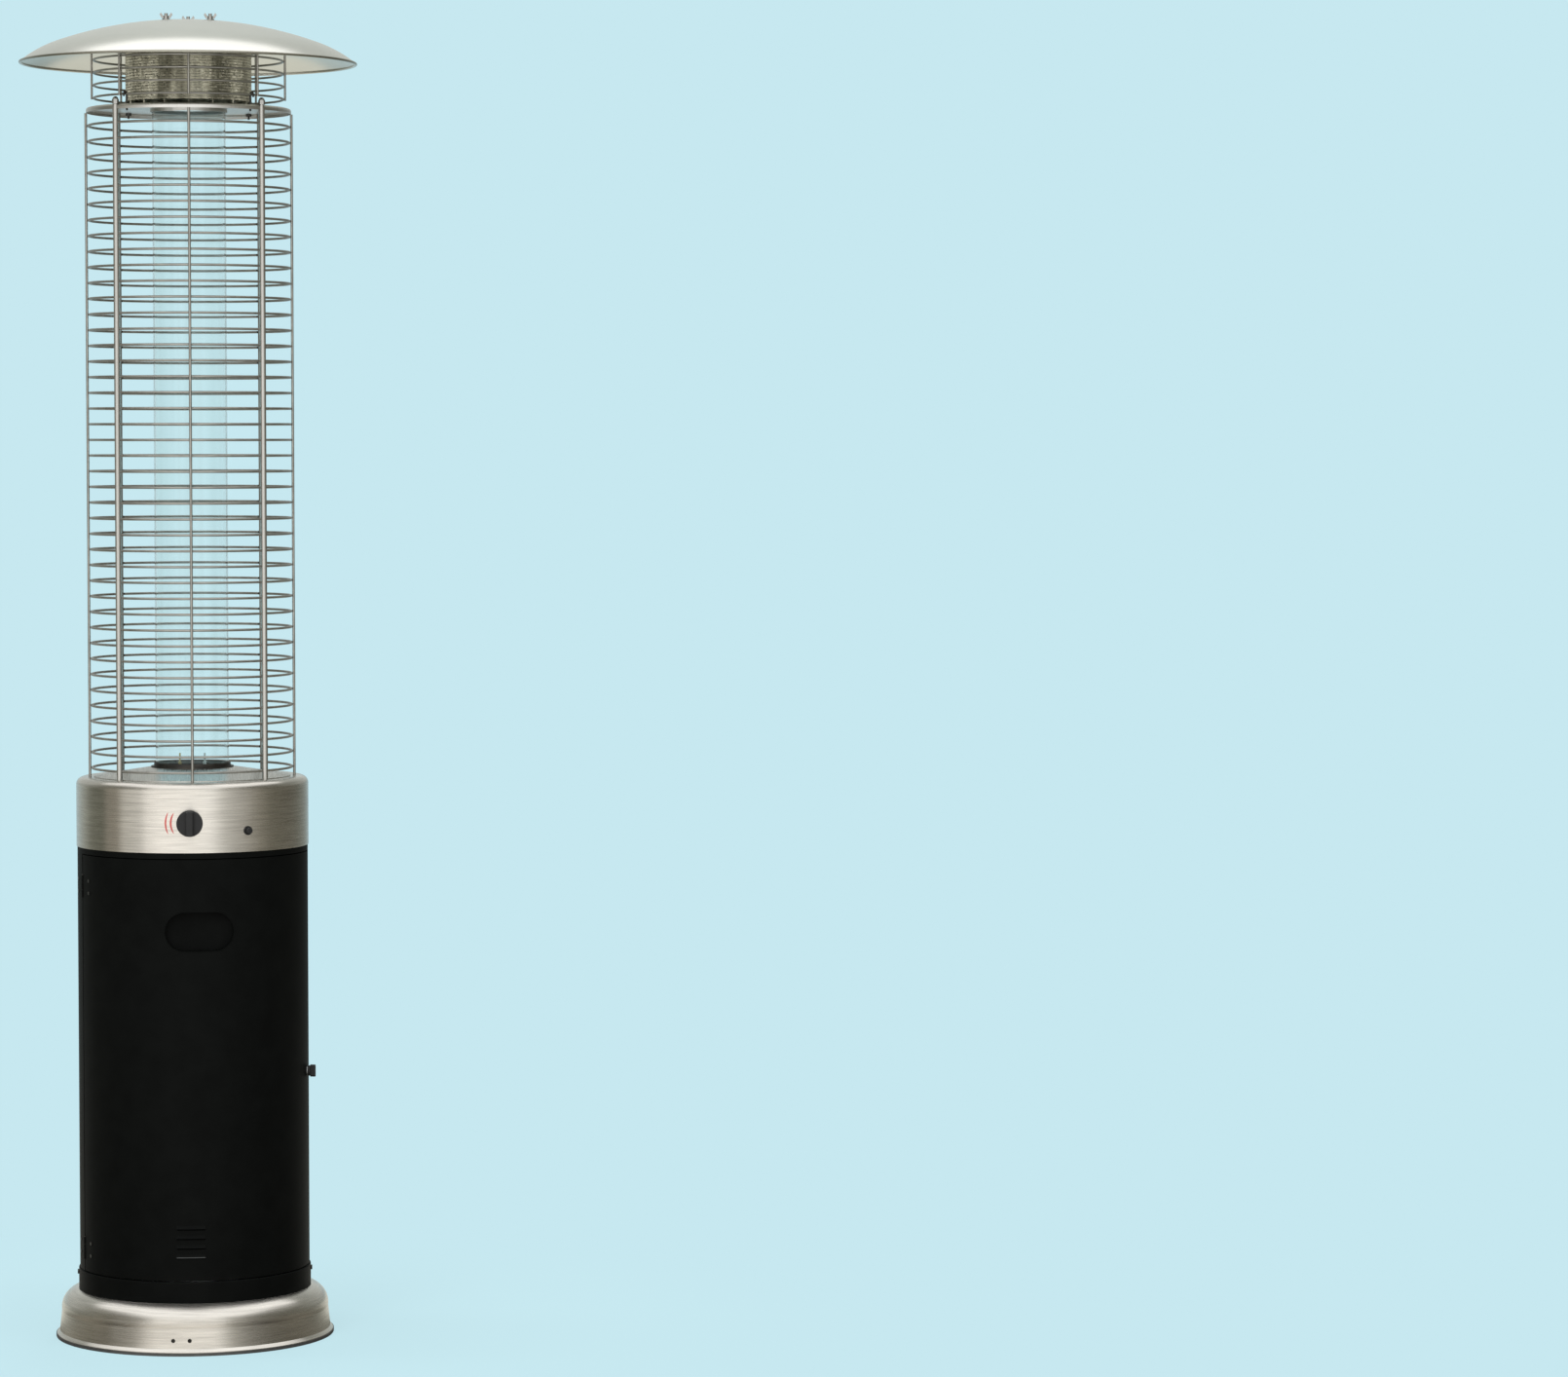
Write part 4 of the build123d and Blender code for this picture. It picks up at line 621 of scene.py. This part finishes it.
finishes["zincPlate"] = zincMaterial()
finishes["domeAluminium"] = domeMaterial()
finishes["clearGlass"] = glassMaterial()
finishes["screenSteel"] = screenMaterial()
finishes["doorBlack"] = doorMaterial(louvreLip)
finishes["burnerSteel"] = scorchedMaterial("burnerSteel", {
    "colour": (0.10, 0.09, 0.08), "metallic": 0.9, "roughness": 0.5, "roughnessSpread": 0.1,
    "patches": (45, 45, 45),
    "tints": [(0.3, (0.02, 0.02, 0.026)), (0.5, (0.05, 0.042, 0.034)), (0.7, (0.10, 0.08, 0.06))],
})
finishes["scorchedSteel"] = scorchedMaterial("scorchedSteel", {
    "colour": (0.08, 0.075, 0.07), "metallic": 0.9, "roughness": 0.42, "roughnessSpread": 0.08,
    "patches": (30, 30, 120),
    "tints": [(0.3, (0.035, 0.034, 0.034)), (0.5, (0.07, 0.066, 0.06)), (0.7, (0.12, 0.11, 0.095))],
})
finishes["redInk"] = grainedMaterial("redInk", {
    "colour": (0.50, 0.085, 0.075), "roughness": 0.4, "roughnessSpread": 0.05, "colourSpread": 0.2,
    "broadGrain": (700, 700, 700), "fineGrain": (1500, 1500, 1500), "relief": 0.00001,
})

nodeFinishes = {
    "brushedSteel": ["base_skirt", "control_band"],
    "deckSteel": ["deck_plate"],
    "plateSteel": ["top_plate", "tube_collar"],
    "scorchedSteel": ["tube_seat", "burner_pot"],
    "powderBlack": [
        "lower_hoop", "housing_shell", "door_stop", "grip_cup", "door_hinge_leaves", "shell_hinge_leaves",
    ],
    "doorBlack": ["door_panel"],
    "wireSteel": ["guard_front", "guard_right", "guard_rear", "guard_left", "upper_guard"],
    "postAluminium": ["support_posts"],
    "knobPlastic": [
        "control_knob", "igniter_body", "igniter_bezel", "igniter_button", "latch_knob", "tilt_switch",
    ],
    "trimRubber": ["base_trim"],
    "screwSteel": ["post_screws", "post_caps", "dome_studs", "wing_nuts"],
    "rivetSteel": ["door_rivets", "shell_rivets"],
    "hookSteel": ["guard_hooks", "housing_screws", "hinge_pins"],
    "valveBrass": [
        "valve_body", "valve_cover", "valve_plug", "valve_stem", "gas_inlet", "injector", "thermocouple",
    ],
    "castStone": ["ballast_ring"],
    "glazedCeramic": ["electrode"],
    "glassCloth": ["tube_gaskets"],
    "zincPlate": [
        "base_floor", "bottle_floor", "latch_bush", "latch_spindle", "latch_cam", "partition_plate",
        "valve_bracket", "mixer_tube", "supply_pipe",
    ],
    "domeAluminium": ["dome"],
    "clearGlass": ["glass_tube"],
    "screenSteel": ["flame_screen", "screen_cap"],
    "burnerSteel": ["burner_plate"],
}
finished = [name for names in nodeFinishes.values() for name in names]
for finish, names in nodeFinishes.items():
    for name in names:
        nodes[name].data.materials.clear()
        nodes[name].data.materials.append(finishes[finish])
print("finishes set on", len(finished), "nodes; without one:", sorted(set(nodes) - set(finished)))


# glass tube: a turned wall with rounded ends

glassTube = {
    "wall": 0.0025,
    "steps": 160,
    "endRound": 0.0008,
    "roundSteps": 3,
    "roundFrom": 40,  # only corners sharper than this are rounded
    "smoothTo": 15,
}


def makeGlassTube(look):
    low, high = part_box("glass_tube")
    outer = high.x
    inner = outer - look["wall"]
    profile = [(inner, low.z), (outer, low.z), (outer, high.z), (inner, high.z), (inner, low.z)]
    piece = turnProfile("clearTube", profile, look["steps"])
    ends = piece.modifiers.new("ends", "BEVEL")
    ends.width = look["endRound"]
    ends.segments = look["roundSteps"]
    ends.angle_limit = radians(look["roundFrom"])
    applyModifiers(piece)
    smoothByAngle(piece, look["smoothTo"])
    finishPiece(piece, finishes["clearGlass"], "root", ["glass_tube"])
    return piece


tubePiece = makeGlassTube(glassTube)
print("glass tube turned:", len(tubePiece.data.polygons), "faces")


# flame screen: a rolled sheet cut into fine openings, on pins that stand on the top plate

flameScreen = {
    "sides": 136,
    "cuts": 24,
    "reach": 0.1010,
    "lift": 0.0100,
    "wall": 0.0007,
    "web": 0.00105,
    "cornerCut": 0.00070,
    "holeCorners": 8,
    "pins": 16,
    "pinSides": 10,
    "pinRadius": 0.0012,
    "pinRound": 0.0003,
    "pinRoundSteps": 2,
    "pinLap": 0.0030,
    "mergeGap": 0.00001,
    "smoothTo": 30,
}


def punchSheet(look, low, high):
    # the cut runs across every side both ways, so the openings are much finer than the real holes
    height = high - low
    clearSelection()
    bpy.ops.mesh.primitive_cylinder_add(
        vertices=look["sides"],
        radius=look["reach"],
        depth=height,
        end_fill_type="NOTHING",
        location=(0, 0, low + height / 2),
    )
    piece = bpy.context.object
    piece.name = "flameScreenSheet"
    applyPlace(piece)
    bpy.ops.object.mode_set(mode="EDIT")
    bpy.ops.mesh.select_mode(type="EDGE")
    bpy.ops.mesh.select_all(action="SELECT")
    bpy.ops.mesh.subdivide(number_cuts=look["cuts"])
    bpy.ops.mesh.select_all(action="SELECT")
    bpy.ops.mesh.select_mode(type="FACE")
    bpy.ops.mesh.inset(thickness=look["web"], use_individual=True)
    bpy.ops.mesh.bevel(offset=look["cornerCut"], affect="VERTICES")
    bpy.ops.mesh.select_all(action="DESELECT")
    bpy.ops.object.mode_set(mode="OBJECT")
    for face in piece.data.polygons:
        face.select = len(face.vertices) == look["holeCorners"]
    bpy.ops.object.mode_set(mode="EDIT")
    bpy.ops.mesh.delete(type="FACE")
    bpy.ops.object.mode_set(mode="OBJECT")
    wall = piece.modifiers.new("wall", "SOLIDIFY")
    wall.thickness = look["wall"]
    wall.offset = -1
    applyModifiers(piece)
    return piece


def makePins(look, low, high):
    # one rounded pin, then copies of it round the axis
    clearSelection()
    reach = look["reach"] - look["wall"] / 2
    bpy.ops.mesh.primitive_cylinder_add(
        vertices=look["pinSides"],
        radius=look["pinRadius"],
        depth=high - low,
        location=(0, -reach, (low + high) / 2),
    )
    piece = bpy.context.object
    applyPlace(piece)
    bpy.ops.object.mode_set(mode="EDIT")
    bpy.ops.mesh.select_all(action="SELECT")
    bpy.ops.mesh.bevel(offset=look["pinRound"], segments=look["pinRoundSteps"], affect="EDGES")
    bpy.ops.mesh.select_all(action="SELECT")
    bpy.ops.mesh.spin(
        steps=look["pins"],
        angle=2 * pi,
        center=(0, 0, 0),
        axis=(0, 0, 1),
        dupli=True,
        use_auto_merge=False,
    )
    bpy.ops.mesh.remove_doubles(threshold=look["mergeGap"])
    bpy.ops.object.mode_set(mode="OBJECT")
    return piece


def makeFlameScreen(look):
    low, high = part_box("flame_screen")
    sheet = punchSheet(look, low.z + look["lift"], high.z)
    pins = makePins(look, low.z, low.z + look["lift"] + look["pinLap"])
    clearSelection()
    pins.select_set(True)
    sheet.select_set(True)
    bpy.context.view_layer.objects.active = sheet
    bpy.ops.object.join()
    smoothByAngle(sheet, look["smoothTo"])
    finishPiece(sheet, finishes["screenSteel"], "root", ["flame_screen"])
    return sheet


screenPiece = makeFlameScreen(flameScreen)
print("flame screen cut:", len(screenPiece.data.polygons), "faces")


# two printed red arcs at the left of the control knob

redArcs = {
    "arcs": [
        {"reach": 0.0300, "width": 0.0032, "halfTurn": 34},
        {"reach": 0.0382, "width": 0.0028, "halfTurn": 27},
    ],
    "steps": 20,
    "taperPower": 0.6,
    "leastTaper": 0.12,
    "before": 0.02,  # the strip starts this far in front of the knob, and is then laid on the band
    "lift": 0.00003,
    "ink": 0.00015,
    "mergeGap": 0.000001,
}


def makeFlatArc(name, arc, look):
    # a short line across the arc, spun about the origin
    clearSelection()
    bpy.ops.mesh.primitive_plane_add(size=arc["width"], location=(arc["reach"], 0, 0))
    piece = bpy.context.object
    piece.name = name
    applyPlace(piece)
    bpy.ops.object.mode_set(mode="EDIT")
    bpy.ops.mesh.select_mode(type="VERT")
    bpy.ops.mesh.select_all(action="DESELECT")
    bpy.ops.object.mode_set(mode="OBJECT")
    for vertex in piece.data.vertices:
        vertex.select = vertex.co.y < 0
        vertex.co.y = 0
    bpy.ops.object.mode_set(mode="EDIT")
    bpy.ops.mesh.delete(type="VERT")
    bpy.ops.mesh.select_all(action="SELECT")
    wholeTurn = radians(2 * arc["halfTurn"])
    bpy.ops.mesh.spin(steps=look["steps"], angle=-wholeTurn, center=(0, 0, 0), axis=(0, 0, 1))
    bpy.ops.mesh.select_all(action="SELECT")
    bpy.ops.mesh.remove_doubles(threshold=look["mergeGap"])
    bpy.ops.mesh.normals_make_consistent(inside=False)
    bpy.ops.object.mode_set(mode="OBJECT")
    return piece


def taperArc(mesh, arc, look):
    # narrower towards both ends
    for vertex in mesh.vertices:
        flat = Vector((vertex.co.x, vertex.co.y))
        share = abs(flat.angle_signed(Vector((1, 0)), 0.0)) / radians(2 * arc["halfTurn"])
        taper = max(0.0, 4 * share * (1 - share)) ** look["taperPower"]
        half = arc["width"] / 2 * max(taper, look["leastTaper"])
        side = 1 if flat.length > arc["reach"] else -1
        flat = flat.normalized() * (arc["reach"] + side * half)
        vertex.co = (flat.x, flat.y, 0)


def layOnBand(piece, look):
    wrap = piece.modifiers.new("wrap", "SHRINKWRAP")
    wrap.target = nodes["control_band"]
    wrap.wrap_method = "PROJECT"
    wrap.use_project_y = True
    wrap.use_positive_direction = True
    wrap.offset = look["lift"]
    applyModifiers(piece)
    skin = piece.modifiers.new("skin", "SOLIDIFY")
    skin.thickness = 2 * look["ink"]
    skin.offset = 0
    applyModifiers(piece)


def makeRedArc(name, arc, look):
    piece = makeFlatArc(name, arc, look)
    taperArc(piece.data, arc, look)
    knobLow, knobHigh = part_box("control_knob")
    centre = (knobLow + knobHigh) / 2
    toLeft = Matrix.Rotation(radians(180 - arc["halfTurn"]), 4, "Z")
    upright = Matrix.Rotation(radians(90), 4, "X")
    toKnob = Matrix.Translation((centre.x, knobLow.y - look["before"], centre.z))
    for step in (toLeft, upright, toKnob):
        piece.data.transform(step)
    layOnBand(piece, look)
    finishPiece(piece, finishes["redInk"], "root")
    print(name, "has", len(piece.data.polygons), "faces")


for count, arc in enumerate(redArcs["arcs"]):
    makeRedArc("redArc" + str(count), arc, redArcs)
print("red arcs printed")
